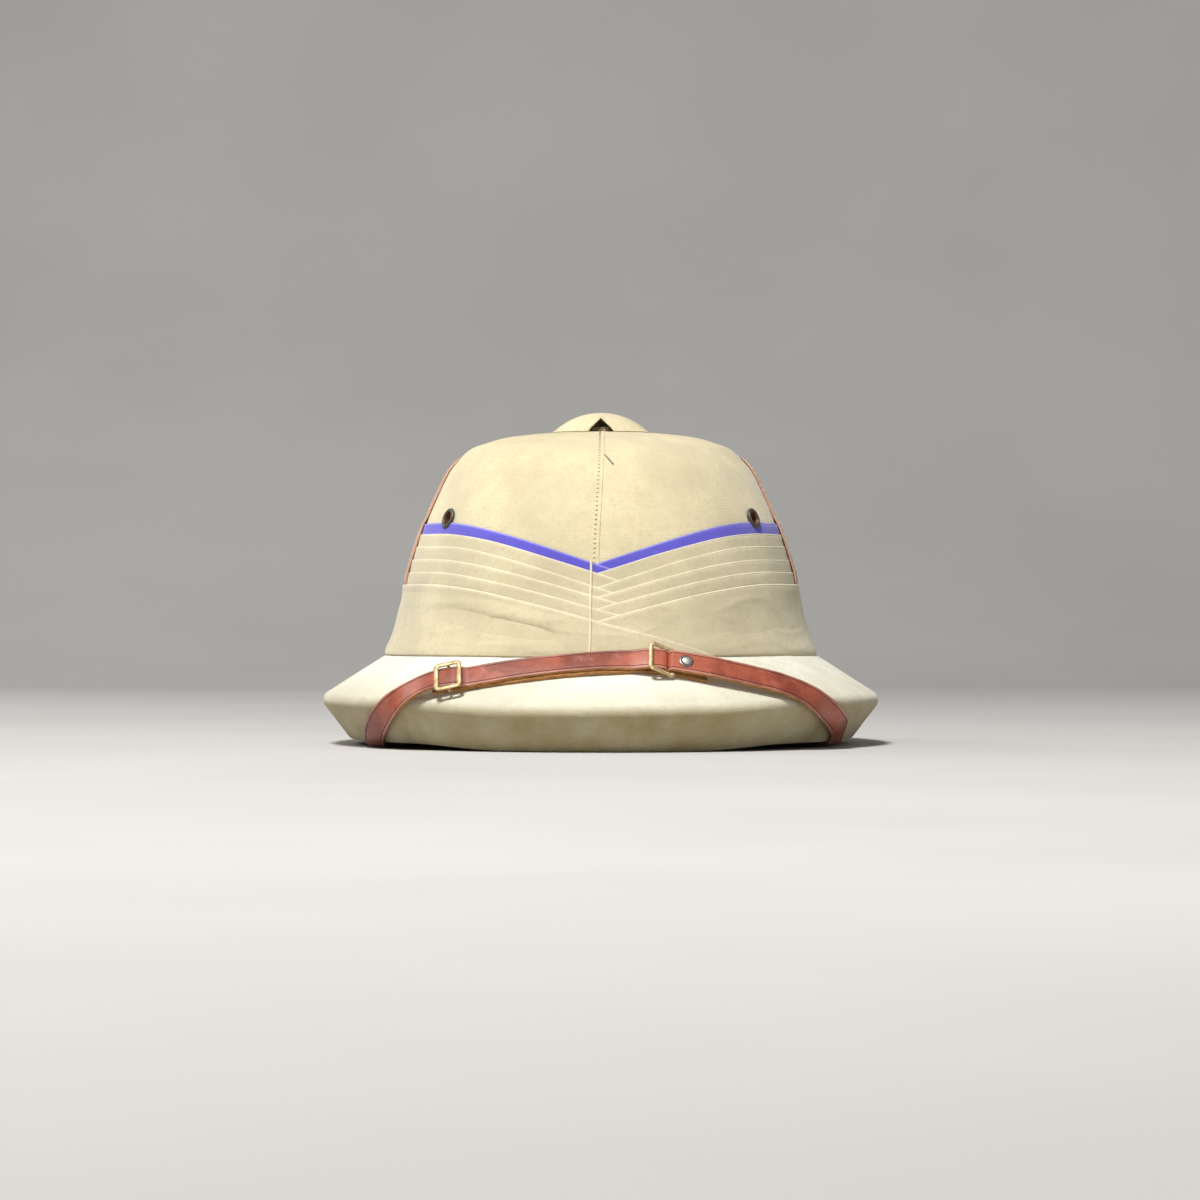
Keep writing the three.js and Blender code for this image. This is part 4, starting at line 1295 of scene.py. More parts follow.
class PITH_OT_band(bpy.types.Operator):
    """Winds the pleated band: each fold goes once round and ends over its own start at the front"""

    bl_idname = "pith.band"
    bl_label = "Pleated band"

    def execute(self, context):
        form = HelmetForm(context.scene)
        meshes = []
        for index, fold in enumerate(FOLDS):
            mesh = self.fold_mesh(form, index, fold)
            if fold["name"] == "blue":
                finishes = ["blue_cotton", "blue_crest"]
                blue = make_piece("band_blue_fold", mesh, finishes, ["blue_band"])
                bore_eyelets(blue, form)
            else:
                meshes.append(mesh)
        pleats = joined_mesh("band_pleats", meshes)
        make_piece("band_pleats", pleats, ["muslin", "fold_crest"], ["pugaree"])
        self.front_cord(form)
        return {"FINISHED"}

    def edge_height(self, form, index, fold, way):
        """Height of the fold's top edge at a way from the front round by the right."""
        right = way - FOLD_SHIFT
        left = 360 - way + FOLD_SHIFT
        z = form.fold_height(fold, min(right, left))
        if fold["name"] == "wrap" and way > 360:
            droop = 3 * MM
            z -= smooth(way - 360, 12, 33) * droop
        azimuth = math.radians(way - 90)
        return z + 0.35 * MM * wobble(21 + index, math.cos(azimuth) * 3, math.sin(azimuth) * 3, way / 200)

    def fold_mesh(self, form, index, fold):
        """One fold, from its foot up its face, over its rolled edge and down its inside."""
        is_wrap = fold["name"] == "wrap"
        start, stop = (-5.0, 393.0) if is_wrap else (-9.0, 370.0)
        columns = 400
        bead = (0.55 if is_wrap else 0.42) * MM
        sink = 0.07 * MM
        thick = 0.35 * MM
        hide = 15 * MM
        rows = []
        for i in range(columns + 1):
            way = mix(start, stop, i / columns)
            azimuth = math.radians(way - 90)
            turn = way if way < 180 else way - 360
            top = self.edge_height(form, index, fold, way)
            stand = fold["stand"] * MM + 0.24 * MM * smooth(way, 40, 320)
            foot = top - hide
            if is_wrap:
                foot = min(form.band_foot(azimuth, stand), top - 1.2 * MM)
            steps = 30 if is_wrap else 8
            row = []
            for k in range(steps + 1):
                z = mix(foot, top - 2.0 * bead, k / steps)
                reach = stand - sink
                wave = band_wrinkle(azimuth, z, 1.0 if is_wrap else 0.2)
                if is_wrap:
                    wave += wrap_crease(turn, z) if way > 24 else 0.0
                    wave *= smooth(z, foot, foot + 3 * MM) * smooth(top - z, 0.5 * MM, 5 * MM)
                    reach += 0.35 * MM * (1 - smooth(z, foot, foot + 2.5 * MM))
                row.append(form.on_crown(azimuth, z, reach + wave))
            middle = form.on_crown(azimuth, top - bead, stand - bead)
            out = (form.on_crown(azimuth, top - bead, stand) - middle).normalized()
            for k in range(9):
                angle = math.radians(mix(-35, 130, k / 8))
                row.append(middle + out * (bead * math.cos(angle)) + Vector((0, 0, bead * math.sin(angle))))
            for t in (0.0, 0.3, 0.65, 1.0):
                z = mix(top - 1.2 * bead, foot, t)
                inner = form.on_crown(azimuth, z, max(0.15 * MM, stand - sink - thick))
                row.append(inner)
            rows.append(row)
        count = len(rows[0])
        mesh = grid_mesh(
            "fold", rows, across=True, caps=True,
            uv=lambda i, j: (i / columns * 0.74, rows[min(i, len(rows) - 1)][j % count].z))
        # The rolled edge's faces take the crest finish, a painted highlight.
        finish_rows(mesh, count, steps, steps + 8, 1)
        return mesh

    def front_cord(self, form):
        """Thin raised seam that hides the meeting of the folds at the front."""
        turn = -2.9
        azimuth = math.radians(-90 + turn)
        path = []
        top = form.fold_height(FOLDS[-1], 3) + 0.3 * MM
        foot = form.band_foot(azimuth, 5.0 * MM) + 0.4 * MM
        count = 90
        for i in range(count + 1):
            z = mix(top, foot, i / count)
            stand = FOLDS[-1]["stand"] * MM + 0.2 * MM
            for fold in FOLDS[:-1]:
                edge = form.fold_height(fold, 1.7)
                lift = fold["stand"] * MM + 0.2 * MM
                stand = max(stand, lift * smooth(edge - z, -1.2 * MM, 0.6 * MM))
            sway = 0.25 * MM * wobble(31, z * 60)
            point = form.on_crown(azimuth, z, stand + 0.45 * MM)
            path.append(point + Vector((sway, 0, 0)))
        mesh = tube_mesh("band_front_cord", path, 0.62 * MM, sides=12, pitch=1.5 * MM, twist=0.14)
        # The cord takes the fold crests' painted highlight colour.
        make_piece("band_front_cord", mesh, ["fold_crest"])


# Side flashes


class PITH_OT_flashes(bpy.types.Operator):
    """Sews the coloured patches to the helmet's sides, tucked behind the lowest fold"""

    bl_idname = "pith.flashes"
    bl_label = "Side flashes"

    def execute(self, context):
        form = HelmetForm(context.scene)
        for side, name in ((-1, "side_flash_left"), (1, "side_flash_right")):
            self.flash(form, side, name)
        return {"FINISHED"}

    def stand_at(self, form, z):
        """How far the patch's inside stands off the crown at a height."""
        edges = [(form.fold_height(fold, 90), fold["stand"] * MM + 0.3 * MM) for fold in FOLDS[1:]]
        edges.append((edges[-1][0] + 4 * MM, 0.35 * MM))
        if z <= edges[0][0]:
            return edges[0][1]
        for (low, below), (high, above) in zip(edges, edges[1:]):
            if z <= high:
                return mix(below, above, (z - low) / (high - low))
        return edges[-1][1]

    def flash(self, form, side, name):
        """One patch, with its lower edge behind the fold and its free edges thinned."""
        centre = 0.0 if side > 0 else math.pi
        tuck = form.fold_height(FOLDS[0], 90)
        bottom = tuck - 0.8 * MM
        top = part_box(name)[1][2]
        width = node_size(name).y + 1.5 * MM
        corner = 12 * MM
        thick = 1.0 * MM
        columns, levels = 40, 90
        bend = form.end ** 2 / form.side * 0.86
        sheets = []
        for lift in (thick, 0.0):
            sheet = []
            for i in range(levels + 1):
                z = mix(bottom, top, i / levels)
                inside = max(0.0, (z - (top - corner)) / corner)
                half = width / 2 - corner * (1 - math.sqrt(max(0.0, 1 - inside ** 2)))
                half = max(half, 2.5 * MM)
                row = []
                for j in range(columns + 1):
                    across = half * (2 * j / columns - 1)
                    azimuth = centre + across / bend
                    rim = smooth(abs(across), half - 1.2 * MM, half) + smooth(z, top - 1.0 * MM, top)
                    free = smooth(z, tuck - 0.2 * MM, tuck + 2.5 * MM)
                    stand = self.stand_at(form, z) + lift * (1 - 0.35 * min(1, rim)) * mix(0.3, 1, free)
                    stand += 0.22 * MM * wobble(41 + side, across * 90, z * 70) * free
                    row.append(form.on_crown(azimuth, z, stand))
                sheet.append(row)
            sheets.append(sheet)
        face, back = sheets
        rows = [f + list(reversed(b)) for f, b in zip(face, back)]
        mesh = grid_mesh(
            name, rows, across=True, caps=True,
            uv=lambda i, j: (i * 0.8 * MM, j * 1.1 * MM))
        patch = make_piece(f"{name}_cloth", mesh, ["flash_cloth"], [name])
        self.sew(form, face, patch.name)

    def cut_length(self, face):
        """Length of the flat patch, up the middle of its face."""
        column = [row[len(row) // 2] for row in face]
        return sum((b - a).length for a, b in zip(column, column[1:]))

    def sew(self, form, face, name):
        """Row of stitches a little inside the patch's edge."""
        inset = 3
        path = [row[inset] for row in face[5:-inset]]
        path += face[-inset][inset + 1:-inset - 1]
        path += [row[-inset - 1] for row in reversed(face[5:-inset])]
        normals = []
        for point in path:
            azimuth = math.atan2((point.y - form.centre) / form.end, point.x / form.side)
            normals.append(form.crown_normal(azimuth, point.z))
        mesh = stitch_mesh(f"{name}_stitches", path, normals, 2.2 * MM, 1.0 * MM, 0.28 * MM)
        make_piece(f"{name}_stitches", mesh, ["thread"])


# Ventilator

# How many mouths the dome has, and half the width of one at its foot in mm.
MOUTHS = 3
MOUTH_HALF = 7.5


class PITH_OT_ventilator(bpy.types.Operator):
    """Builds the cloth-covered dome with three pointed mouths, and the collar under it"""

    bl_idname = "pith.ventilator"
    bl_label = "Ventilator"

    def execute(self, context):
        form = HelmetForm(context.scene)
        size = form.size
        base = form.seat + 0.3 * MM
        outer = self.dome(size.cap_radius, size.cap_height, 26)
        inner = self.dome(size.cap_radius - 1.5 * MM, size.cap_height - 1.5 * MM, 18)
        hem = [
            (size.cap_radius + 0.35 * MM, 0.25 * MM),
            (size.cap_radius + 0.1 * MM, 0.0),
        ]
        profile = hem[::-1] + outer[2:-1] + [(0.0, outer[-1][1])] + [(0.0, inner[-1][1])] + inner[-2::-1]
        at = Vector((0, form.centre, base))
        mesh = turned_mesh("ventilator_dome", profile, 96, at, Vector((0, 0, 1)))
        dome = make_piece("ventilator_dome", mesh, ["drill"], ["ventilator_cap"], sharp=40)
        self.open_mouths(dome, form, base)
        self.bind_mouths(form, base)
        self.collar(form)
        return {"FINISHED"}

    def dome(self, radius, height, steps):
        """Radius and height of a dome from its rim to its top."""
        sphere = (radius ** 2 + height ** 2) / (2 * height)
        widest = math.asin(radius / sphere)
        return [
            (sphere * math.sin(a), sphere * math.cos(a) - sphere + height)
            for a in (widest * (1 - i / steps) for i in range(steps + 1))
        ]

    def dome_point(self, form, base, x, z):
        """Point of the front of the dome's outside at a place across and up."""
        size = form.size
        sphere = (size.cap_radius ** 2 + size.cap_height ** 2) / (2 * size.cap_height)
        depth = math.sqrt(max(0.0, sphere ** 2 - x ** 2 - (z + sphere - size.cap_height) ** 2))
        return Vector((x, form.centre - depth, base + z))

    def open_mouths(self, dome, form, base):
        """Cuts the pointed mouths out of the dome."""
        foot, point, tip = -1 * MM, 7.9 * MM, 0.5 * MM
        outline = [(-MOUTH_HALF * MM, foot), (MOUTH_HALF * MM, foot), (tip, point), (-tip, point)]
        mouths = []
        for i in range(MOUTHS):
            rows = [[Vector((x, y, base + z)) for x, z in outline] for y in (-30 * MM, -10 * MM)]
            mesh = grid_mesh("mouth", rows, across=True, caps=True, uv=lambda i, j: (0, 0))
            mesh.transform(Matrix.Rotation(i * 2 * math.pi / MOUTHS, 4, "Z"))
            mesh.transform(Matrix.Translation((0, form.centre, 0)))
            mouths.append(mesh)
        cut_away(dome, "mouths", mouths)

    def bind_mouths(self, form, base):
        """Cloth binding round each mouth."""
        meshes = []
        corners = [(-MOUTH_HALF, 0.3), (0.0, 7.7), (MOUTH_HALF, 0.3)]
        for i in range(MOUTHS):
            path = []
            for (x0, z0), (x1, z1) in zip(corners, corners[1:]):
                for k in range(10):
                    x, z = mix(x0, x1, k / 10) * MM, mix(z0, z1, k / 10) * MM
                    path.append(self.dome_point(form, base, x, z))
            path.append(self.dome_point(form, base, x1 * MM, z1 * MM))
            mesh = tube_mesh("mouth_binding", path, 0.55 * MM, sides=10)
            turn = Matrix.Rotation(i * 2 * math.pi / MOUTHS, 4, "Z")
            shift = Matrix.Translation((0, form.centre, 0))
            mesh.transform(shift @ turn @ shift.inverted())
            meshes.append(mesh)
        make_piece("ventilator_bindings", joined_mesh("ventilator_bindings", meshes), ["drill"])

    def collar(self, form):
        """Short tube on which the dome stands."""
        low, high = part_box("ventilator_collar")
        outer = node_size("ventilator_collar").x / 2
        inner = outer - 2 * MM
        height = high[2] - low[2]
        profile = [
            (inner, 0.0), (outer, 0.0), (outer, height - 0.6 * MM), (outer - 0.3 * MM, height - 0.15 * MM),
            (outer - 1.0 * MM, height), (inner + 0.3 * MM, height - 0.15 * MM), (inner, height - 0.6 * MM),
        ]
        at = Vector((0, form.centre, low[2]))
        mesh = turned_mesh("ventilator_tube", profile, 64, at, Vector((0, 0, 1)))
        make_piece("ventilator_tube", mesh, ["lining"], ["ventilator_collar"], sharp=50)


# Eyelets


class PITH_OT_eyelets(bpy.types.Operator):
    """Sets the rolled metal eyelets in the crown"""

    bl_idname = "pith.eyelets"
    bl_label = "Eyelets"

    def execute(self, context):
        form = HelmetForm(context.scene)
        barrel, bore, reach, depth = 3.8 * MM, 3.4 * MM, 5.4 * MM, -9.0 * MM
        for side, node in ((-1, "eyelet_left"), (1, "eyelet_right")):
            at, normal = eyelet_place(form, side)
            profile = [(bore, depth), (barrel, depth), (barrel, 0.2 * MM), (reach - 0.3 * MM, 0.5 * MM)]
            roll = (mix(bore, reach, 0.5), 1.15 * MM)
            profile += arc(roll, ((reach - bore) / 2, 0.95 * MM), -0.5, math.pi, 12)
            mesh = turned_mesh(f"{node}_ring", profile, 48, at, normal)
            make_piece(f"{node}_ring", mesh, ["gunmetal", "eyelet_throat"], [node], sharp=50)
            for polygon in mesh.polygons:
                middle = polygon.center - at
                level = middle.dot(normal)
                if level < 1.0 * MM and (middle - normal * level).length < mix(bore, barrel, 0.5):
                    polygon.material_index = 1
        return {"FINISHED"}


# Chin strap

# Air between the strap and the brim, above it and under the rim, and the leather's thickness in
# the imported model, which the heights of the layers follow.
STRAP_REST = 0.45 * MM
STRAP_UNDER_REST = 0.35 * MM
MODEL_THICKNESS = 1.6 * MM

# Buckles: thickness of the bar, air round it, mm from the bar to the frame's rail, and half the
# width of the frame's wire.
BAR_SIZE = 1.3 * MM
BAR_CLEARANCE = 0.6 * MM
BAR_PITCH = 5.9
WIRE_RADIUS = 1.25 * MM

# Turns of the slide buckle, the left strap's end under it, the end buckle and its rail, the stud
# and the right strap's end; then, to each side, where the straps land on the brim and where they
# begin and have come to wrap round the rim. EASE is how far a layer takes to rise or fall.
SLIDE_TURN = -32.9
SLIDE_TAIL_TURN = -36.3
BUCKLE_TURN = 14.1
RAIL_TURN = BUCKLE_TURN + BAR_PITCH / ROUTE_SCALE
STUD_TURN = 19.4
TAIL_TURN = 24.5
LAND_TURN = 45.0
WRAP_TURN = 57.0
WRAPPED_TURN = 64.0
EASE = 5 / ROUTE_SCALE

# How far the lower layers and the slide buckle have slipped down, and how much a slipped layer
# rises for each metre.
UNDER_DRIFT = 1.3 * MM
TAIL_DRIFT = 1.0 * MM
SLIDE_SLIP = 0.75 * MM
DRIFT_RISE = 0.15

# How far the bar, the middles of the layers and the frame's rail stand off the brim.
BAR_STAND = STRAP_REST + MODEL_THICKNESS + BAR_CLEARANCE + BAR_SIZE / 2
FOLD_RADIUS = BAR_SIZE / 2 + BAR_CLEARANCE + MODEL_THICKNESS / 2
HIGH_STAND = FOLD_RADIUS + BAR_STAND
LOW_STAND = MODEL_THICKNESS / 2
PAIR_STAND = STRAP_REST + LOW_STAND + MODEL_THICKNESS + 0.3 * MM
RAIL_STAND = HIGH_STAND + MODEL_THICKNESS / 2 + BAR_CLEARANCE + BAR_SIZE / 2


def rest_stand(turn):
    """How far the middle of a layer that lies on the brim stands off it."""
    return mix(STRAP_REST, STRAP_UNDER_REST, smooth(abs(turn), 55, 60)) + LOW_STAND


def left_stand(turn):
    """How far the middle of the left strap's upper layer stands off the brim."""
    pair = mix(rest_stand(turn), PAIR_STAND, smooth(turn, SLIDE_TURN - 2 * EASE, SLIDE_TURN))
    if turn < SLIDE_TURN:
        over = smooth(turn, -LAND_TURN, SLIDE_TURN - 0.6)
    else:
        over = 1 - smooth(turn, SLIDE_TURN + 0.6, SLIDE_TURN + 2 * EASE)
    into = smooth(turn, BUCKLE_TURN - 4 * EASE, BUCKLE_TURN - EASE)
    return max(mix(pair, HIGH_STAND, over), mix(pair, HIGH_STAND, into))


def right_stand(turn):
    """How far the middle of the right strap's upper layer stands off the brim."""
    return mix(HIGH_STAND, rest_stand(turn), smooth(turn, TAIL_TURN, LAND_TURN))


def under_drift(turn):
    """How far the left strap's lower layer has slipped down at a turn."""
    out = smooth(turn, SLIDE_TURN + 3, SLIDE_TURN + 16)
    return UNDER_DRIFT * (out * (1 - smooth(turn, BUCKLE_TURN - 13, BUCKLE_TURN - 4)))


def tail_drift(turn):
    """How far the right strap's tail has slipped down at a turn."""
    return TAIL_DRIFT * smooth(turn, RAIL_TURN + 1, RAIL_TURN + 6)


def turns_between(form, start, stop):
    """Close, even turns along the strap's way from start to stop."""
    inner = [row[0] for row in form.route if min(start, stop) < row[0] < max(start, stop)]
    if start > stop:
        inner.reverse()
    return [start, *inner, stop]


def lay_station(form, turn, stand, forward=1, drift=0.0):
    """Places on the strap at a turn, from a distance across it and a height over its middle.

    A layer that has slipped down is moved across by its drift. forward is -1 where its face looks
    down. The section is straight where the strap stands off the brim, and bends with the brim
    where the strap wraps round the rim.
    """
    origin, _, across, off = form.strap_frame(turn)
    wrap = smooth(abs(turn), WRAP_TURN, WRAPPED_TURN)
    past = form.past_at(turn)
    per_turn, per_past = form.across_on_brim(turn, across)
    bends = {}

    def place(w, h):
        w -= drift
        height = stand + DRIFT_RISE * drift + forward * h
        straight = origin + across * w + off * height
        if not wrap:
            return straight
        if w not in bends:
            bends[w] = form.brim_at(turn + per_turn * w, past + per_past * w)
        point, normal = bends[w]
        return straight.lerp(point + normal * height, wrap)

    return place


def fold_stations(form, turn, offset, forward):
    """Half a turn round a buckle's bar, from the upper layer to the lower."""
    origin, along, across, off = form.strap_frame(turn)
    stations = []
    steps = 14
    for i in range(1, steps):
        angle = math.pi * i / steps
        normal = off * math.cos(angle) + along * (forward * math.sin(angle))
        middle = origin + along * offset + off * BAR_STAND + normal * FOLD_RADIUS
        stations.append(lambda w, h, m=middle, n=normal: m + across * w + n * h)
    return stations


def ribbon_mesh(name, stations, width, thick, seed):
    """Leather strap along its stations, with tooled lines on its face and cut edges."""
    half, rise = width / 2, thick / 2
    face = [
        (-half, rise - 0.3 * MM), (-half + 0.06 * MM, rise - 0.12 * MM), (-half + 0.25 * MM, rise),
        (-half + 0.8 * MM, rise + 0.08 * MM), (-half + 1.2 * MM, rise + 0.02 * MM),
        (-half + 1.35 * MM, rise - 0.22 * MM), (-half + 1.6 * MM, rise - 0.22 * MM),
        (-half + 1.75 * MM, rise + 0.02 * MM), (-half + 3 * MM, rise + 0.1 * MM), (0.0, rise + 0.14 * MM),
    ]
    face += [(-w, h) for w, h in reversed(face[:-1])]
    back = [
        (half, -rise + 0.25 * MM), (half - 0.25 * MM, -rise), (half / 3, -rise), (-half / 3, -rise),
        (-half + 0.25 * MM, -rise), (-half, -rise + 0.25 * MM),
    ]
    section = face + back
    rows = []
    travelled = 0.0
    places = []
    middles = [place(0, 0) for place in stations]
    for i, place in enumerate(stations):
        if i:
            travelled += (middles[i] - middles[i - 1]).length
        places.append(travelled)
        row = []
        for w, h in section:
            rough = 0.12 * MM * wobble(seed, travelled * 180, w * 60) if abs(w) > half - 0.2 * MM else 0.0
            row.append(place(w, h) + (place(w + MM, h) - place(w, h)) * (rough / MM))
        rows.append(row)
    mesh = grid_mesh(
        name, rows, across=True, caps=True,
        uv=lambda i, j: (places[min(i, len(places) - 1)], j * 0.7 * MM))
    count = len(section)
    for polygon in mesh.polygons:
        columns = sorted(v % count for v in polygon.vertices)
        inset = min(columns[0], len(face) - 1 - columns[-1])
        if inset < 1 or len(columns) != 4:
            polygon.material_index = 1
        elif 4 <= inset <= 6:
            polygon.material_index = 2
        # The strap's outer border takes the paler border finish, partly a painted highlight.
        elif inset < 4:
            polygon.material_index = 3
    return mesh


class PITH_OT_strap(bpy.types.Operator):
    """Lays the leather chin strap over the brim and under the rim"""

    bl_idname = "pith.strap"
    bl_label = "Chin strap"

    def execute(self, context):
        form = HelmetForm(context.scene)
        size = form.size
        leather = ("strap_leather", "raw_edge", "tooled_line", "rubbed_border")
        end = STRAP_ROUTE[-1][0]
        left = [lay_station(form, t, left_stand(t)) for t in turns_between(form, -end, BUCKLE_TURN)]
        left += fold_stations(form, BUCKLE_TURN, 0, 1)
        left += [
            lay_station(form, t, rest_stand(t), -1, under_drift(t))
            for t in turns_between(form, BUCKLE_TURN, SLIDE_TAIL_TURN)
        ]
        right = [lay_station(form, t, right_stand(t)) for t in turns_between(form, end, RAIL_TURN)]
        right += fold_stations(form, BUCKLE_TURN, BAR_PITCH * MM, -1)
        right += [
            lay_station(form, t, rest_stand(t), -1, tail_drift(t))
            for t in turns_between(form, RAIL_TURN + EASE / 2, TAIL_TURN)
        ]
        for name, stations, node, seed in (
            ("strap_left_leather", left, "strap_left", 51),
            ("strap_right_leather", right, "strap_right", 52),
        ):
            mesh = ribbon_mesh(name, stations, size.strap_width, size.strap_thickness, seed)
            make_piece(name, mesh, leather, [node], sharp=45)
        return {"FINISHED"}


class PITH_OT_buckles(bpy.types.Operator):
    """Bends the brass wire buckles round the strap"""

    bl_idname = "pith.buckles"
    bl_label = "Buckles"

    def execute(self, context):
        form = HelmetForm(context.scene)
        self.buckle(form, SLIDE_TURN, RAIL_STAND, RAIL_STAND, SLIDE_SLIP, "buckle_slide")
        self.buckle(form, BUCKLE_TURN, RAIL_STAND, BAR_STAND, 0.0, "buckle_end")
        return {"FINISHED"}

    def buckle(self, form, turn, near, far, slip, node):
        """Wire frame with a bar across it, from the heights of its two rails and its slip down."""
        origin, along, across, off = form.strap_frame(turn)
        half = form.size.strap_width / 2 + 1.0 * MM + BAR_SIZE / 2
        pitch = BAR_PITCH * MM

        def at(x, y, z):
            return origin + along * x + across * (y - slip) + off * z

        corner = 1.5 * MM
        outline = []
        for sx, sy in ((-1, -1), (1, -1), (1, 1), (-1, 1)):
            level = near if sx < 0 else far
            middle = (sx * (pitch - corner), sy * (half - corner))
            first = math.atan2(sy, sx) - math.pi / 4
            bend = arc(middle, (corner, corner), first, first + math.pi / 2, 6)
            outline += [at(x, y, level) for x, y in bend]
        frame_wire = tube_mesh(node, outline, WIRE_RADIUS, sides=14, closed=True, facing=off, flat=0.5)
        drop = [
            (-half, mix(near, far, 0.5)),
            (-half, BAR_STAND + 0.9 * MM),
            (-half + 0.3 * MM, BAR_STAND + 0.25 * MM),
            (-half + 0.9 * MM, BAR_STAND),
        ]
        bar_line = drop + [(-y, z) for y, z in reversed(drop)]
        bar = tube_mesh(node, [at(0, y, z) for y, z in bar_line], BAR_SIZE / 2, sides=12)
        wire = joined_mesh(f"{node}_wire", [frame_wire, bar])
        make_piece(f"{node}_wire", wire, ["brass"], [node], sharp=50)


class PITH_OT_rivets(bpy.types.Operator):
    """Closes the strap with its stud and fixes its ends under the brim"""

    bl_idname = "pith.rivets"
    bl_label = "Stud and rivets"

    def execute(self, context):
        form = HelmetForm(context.scene)
        origin, _, _, off = form.strap_frame(STUD_TURN)
        face = HIGH_STAND + MODEL_THICKNESS / 2 + 0.25 * MM
        washer = [
            (1.5 * MM, face), (3.3 * MM, face), (3.55 * MM, face + 0.12 * MM), (3.4 * MM, face + 0.3 * MM),
            (2.8 * MM, face + 0.42 * MM), (2.3 * MM, face + 0.3 * MM), (1.5 * MM, face + 0.3 * MM),
        ]
        ring = turned_mesh("strap_stud_washer", washer, 40, origin, off)
        make_piece("strap_stud_washer", ring, ["dark_steel"], sharp=60)
        shank, foot = 1.25 * MM, STRAP_REST
        rivet = [(0.0, foot), (shank, foot), (shank, face + 0.5 * MM)]
        rivet += arc((0.0, face + 0.55 * MM), (2.15 * MM, 0.6 * MM), 0, math.pi / 2, 8)
        rivet[-1] = (0.0, rivet[-1][1])
        head = turned_mesh("strap_stud_head", rivet, 40, origin, off)
        make_piece("strap_stud_head", head, ["bright_steel"], ["strap_stud"], sharp=60)
        for side, node in ((-1, "strap_anchor_left"), (1, "strap_anchor_right")):
            self.anchor(form, side, node)
        return {"FINISHED"}

    def anchor(self, form, side, node):
        """Rivet through the strap's end into the underside of the brim."""
        turn = side * (STRAP_ROUTE[-1][0] - 9 / ROUTE_SCALE)
        origin, _, _, off = form.strap_frame(turn)
        face = STRAP_UNDER_REST + MODEL_THICKNESS + BAR_CLEARANCE
        shank, depth = 1.5 * MM, -8 * MM
        profile = [
            (0.0, depth), (shank, depth), (shank, face), (4.2 * MM, face), (4.5 * MM, face + 0.3 * MM),
        ]
        profile += arc((0.0, face + 0.4 * MM), (4.4 * MM, 1.0 * MM), 0, math.pi / 2, 7)
        profile[-1] = (0.0, profile[-1][1])
        mesh = turned_mesh(f"{node}_rivet", profile, 40, origin, off)
        make_piece(f"{node}_rivet", mesh, ["brass"], [node], sharp=50)


# Seams

# The felled seam's section: mm across from its line and over the cloth.
SEAM_SECTION = (
    (-3.4, -0.15),
    (-3.1, 0.10),
    (-2.5, 0.28),
    (-1.6, 0.40),
    (-0.6, 0.50),
    (0.1, 0.56),
    (0.45, 0.50),
    (0.58, 0.20),
    (0.60, -0.15),
)


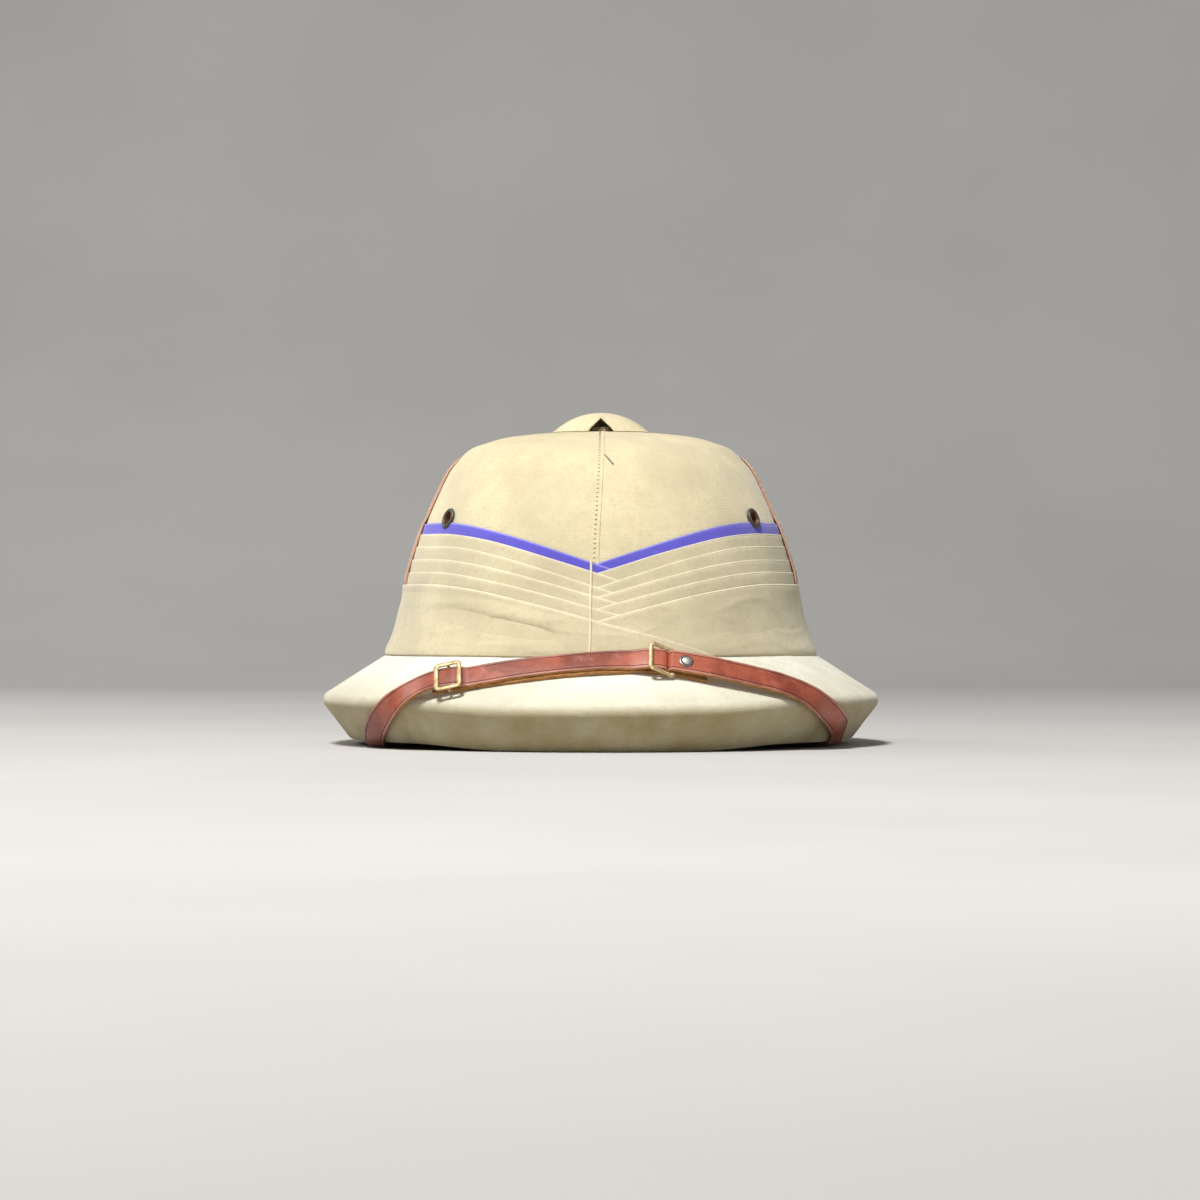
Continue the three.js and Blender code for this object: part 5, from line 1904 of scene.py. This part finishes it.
class PITH_OT_seams(bpy.types.Operator):
    """Fells and stitches the crown's seams"""

    bl_idname = "pith.seams"
    bl_label = "Crown seams"

    def execute(self, context):
        form = HelmetForm(context.scene)
        for name, side in (("crown_seam_front", 1), ("crown_seam_back", -1)):
            self.seam(form, name, side)
        self.loose_thread(form)
        return {"FINISHED"}

    def seam_point(self, form, side, z, half, across, lift):
        """Point on the crown's front (side 1) or back (side -1) seam, from a distance to its right."""
        lean = mix(-1.6, 1.3, smooth(z, form.root + 40 * MM, form.top)) * MM
        angle = side * (across + lean) / max(20 * MM, half[0])
        azimuth = -side * math.pi / 2 + angle
        lift += crown_ripple(azimuth, z)
        p = form.oval(azimuth, [v + lift for v in half])
        return Vector((p.x, p.y, z + lift * 0.3))

    def seam(self, form, name, side):
        """One seam from the blue fold up to the ventilator, with its two rows of stitches."""
        low = form.fold_height(FOLDS[-1], 0 if side > 0 else 90) - 1.5 * MM
        samples = [row for row in form.profile if row[0] > low and row[1] > 25.5 * MM]
        levels = 170
        rows = []
        line = []
        for i in range(levels + 1):
            place = mix(0, len(samples) - 1.001, i / levels)
            k = int(place)
            z, *half = [mix(a, b, place - k) for a, b in zip(samples[k], samples[k + 1])]
            pucker = 0.10 * MM * wobble(62, z * 400)
            drift = 0.25 * MM * wobble(61, z * 40)
            row = [
                self.seam_point(form, side, z, half, w * MM + drift, (h * MM + pucker if h > 0 else h * MM))
                for w, h in SEAM_SECTION
            ]
            row += [self.seam_point(form, side, z, half, w * MM, -0.4 * MM) for w in (0.3, -1.2, -3.0)]
            rows.append(row)
            line.append((z, half, drift))
        mesh = grid_mesh(name, rows, across=True, caps=True, uv=lambda i, j: (i * 0.7 * MM, j * 0.5 * MM))
        make_piece(name, mesh, ["drill"], sharp=50)
        meshes = []
        for across in (-2.1, -1.5):
            path = [
                self.seam_point(form, side, z, half, across * MM + drift, 0.36 * MM)
                for z, half, drift in line
            ]
            normals = []
            for a, b in zip(path, path[1:]):
                normals.append(Vector((side, 0, 0)).cross(b - a).normalized())
            normals.append(normals[-1])
            meshes.append(stitch_mesh(name, path, normals, 0.95 * MM, 1.55 * MM, 0.24 * MM))
        stitches = joined_mesh(f"{name}_stitches", meshes)
        make_piece(f"{name}_stitches", stitches, ["dark_thread"])

    def loose_thread(self, form):
        """Short end of grey thread left by the front seam."""
        path = []
        for i in range(13):
            t = i / 12
            z = form.top - mix(14.4, 19.4, t) * MM
            azimuth = -math.pi / 2 + mix(0.025, 0.078, t)
            stand = mix(0.45, 0.9, t) * MM + 0.3 * MM * math.sin(t * math.pi)
            path.append(form.on_crown(azimuth, z, stand))
        mesh = tube_mesh("seam_loose_thread", path, 0.3 * MM, sides=8, pitch=0.9 * MM, twist=0.2)
        make_piece("seam_loose_thread", mesh, ["grey_thread"])


# Panel


STEPS = (
    PITH_OT_stage,
    PITH_OT_crown,
    PITH_OT_brim,
    PITH_OT_seams,
    PITH_OT_band,
    PITH_OT_flashes,
    PITH_OT_ventilator,
    PITH_OT_eyelets,
    PITH_OT_strap,
    PITH_OT_buckles,
    PITH_OT_rivets,
)


class PITH_PT_panel(bpy.types.Panel):
    """Sizes, colours and steps of the helmet"""

    bl_idname = "PITH_PT_panel"
    bl_label = "Pith helmet"
    bl_space_type = "VIEW_3D"
    bl_region_type = "UI"
    bl_category = "Helmet"

    def draw(self, context):
        layout = self.layout
        for group in (context.scene.pith_sizes, context.scene.pith_colours):
            box = layout.box()
            for key in group.__annotations__:
                box.prop(group, key)
        for step in STEPS:
            layout.operator(step.bl_idname)


CLASSES = (PithSizes, PithColours, *STEPS, PITH_PT_panel)


def register():
    for cls in CLASSES:
        bpy.utils.register_class(cls)
    bpy.types.Scene.pith_sizes = PointerProperty(type=PithSizes)
    bpy.types.Scene.pith_colours = PointerProperty(type=PithColours)


def unregister():
    del bpy.types.Scene.pith_colours
    del bpy.types.Scene.pith_sizes
    for cls in reversed(CLASSES):
        bpy.utils.unregister_class(cls)


def main():
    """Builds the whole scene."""
    register()
    for step in STEPS:
        group, name = step.bl_idname.split(".")
        getattr(getattr(bpy.ops, group), name)()


if __name__ == "__main__":
    main()
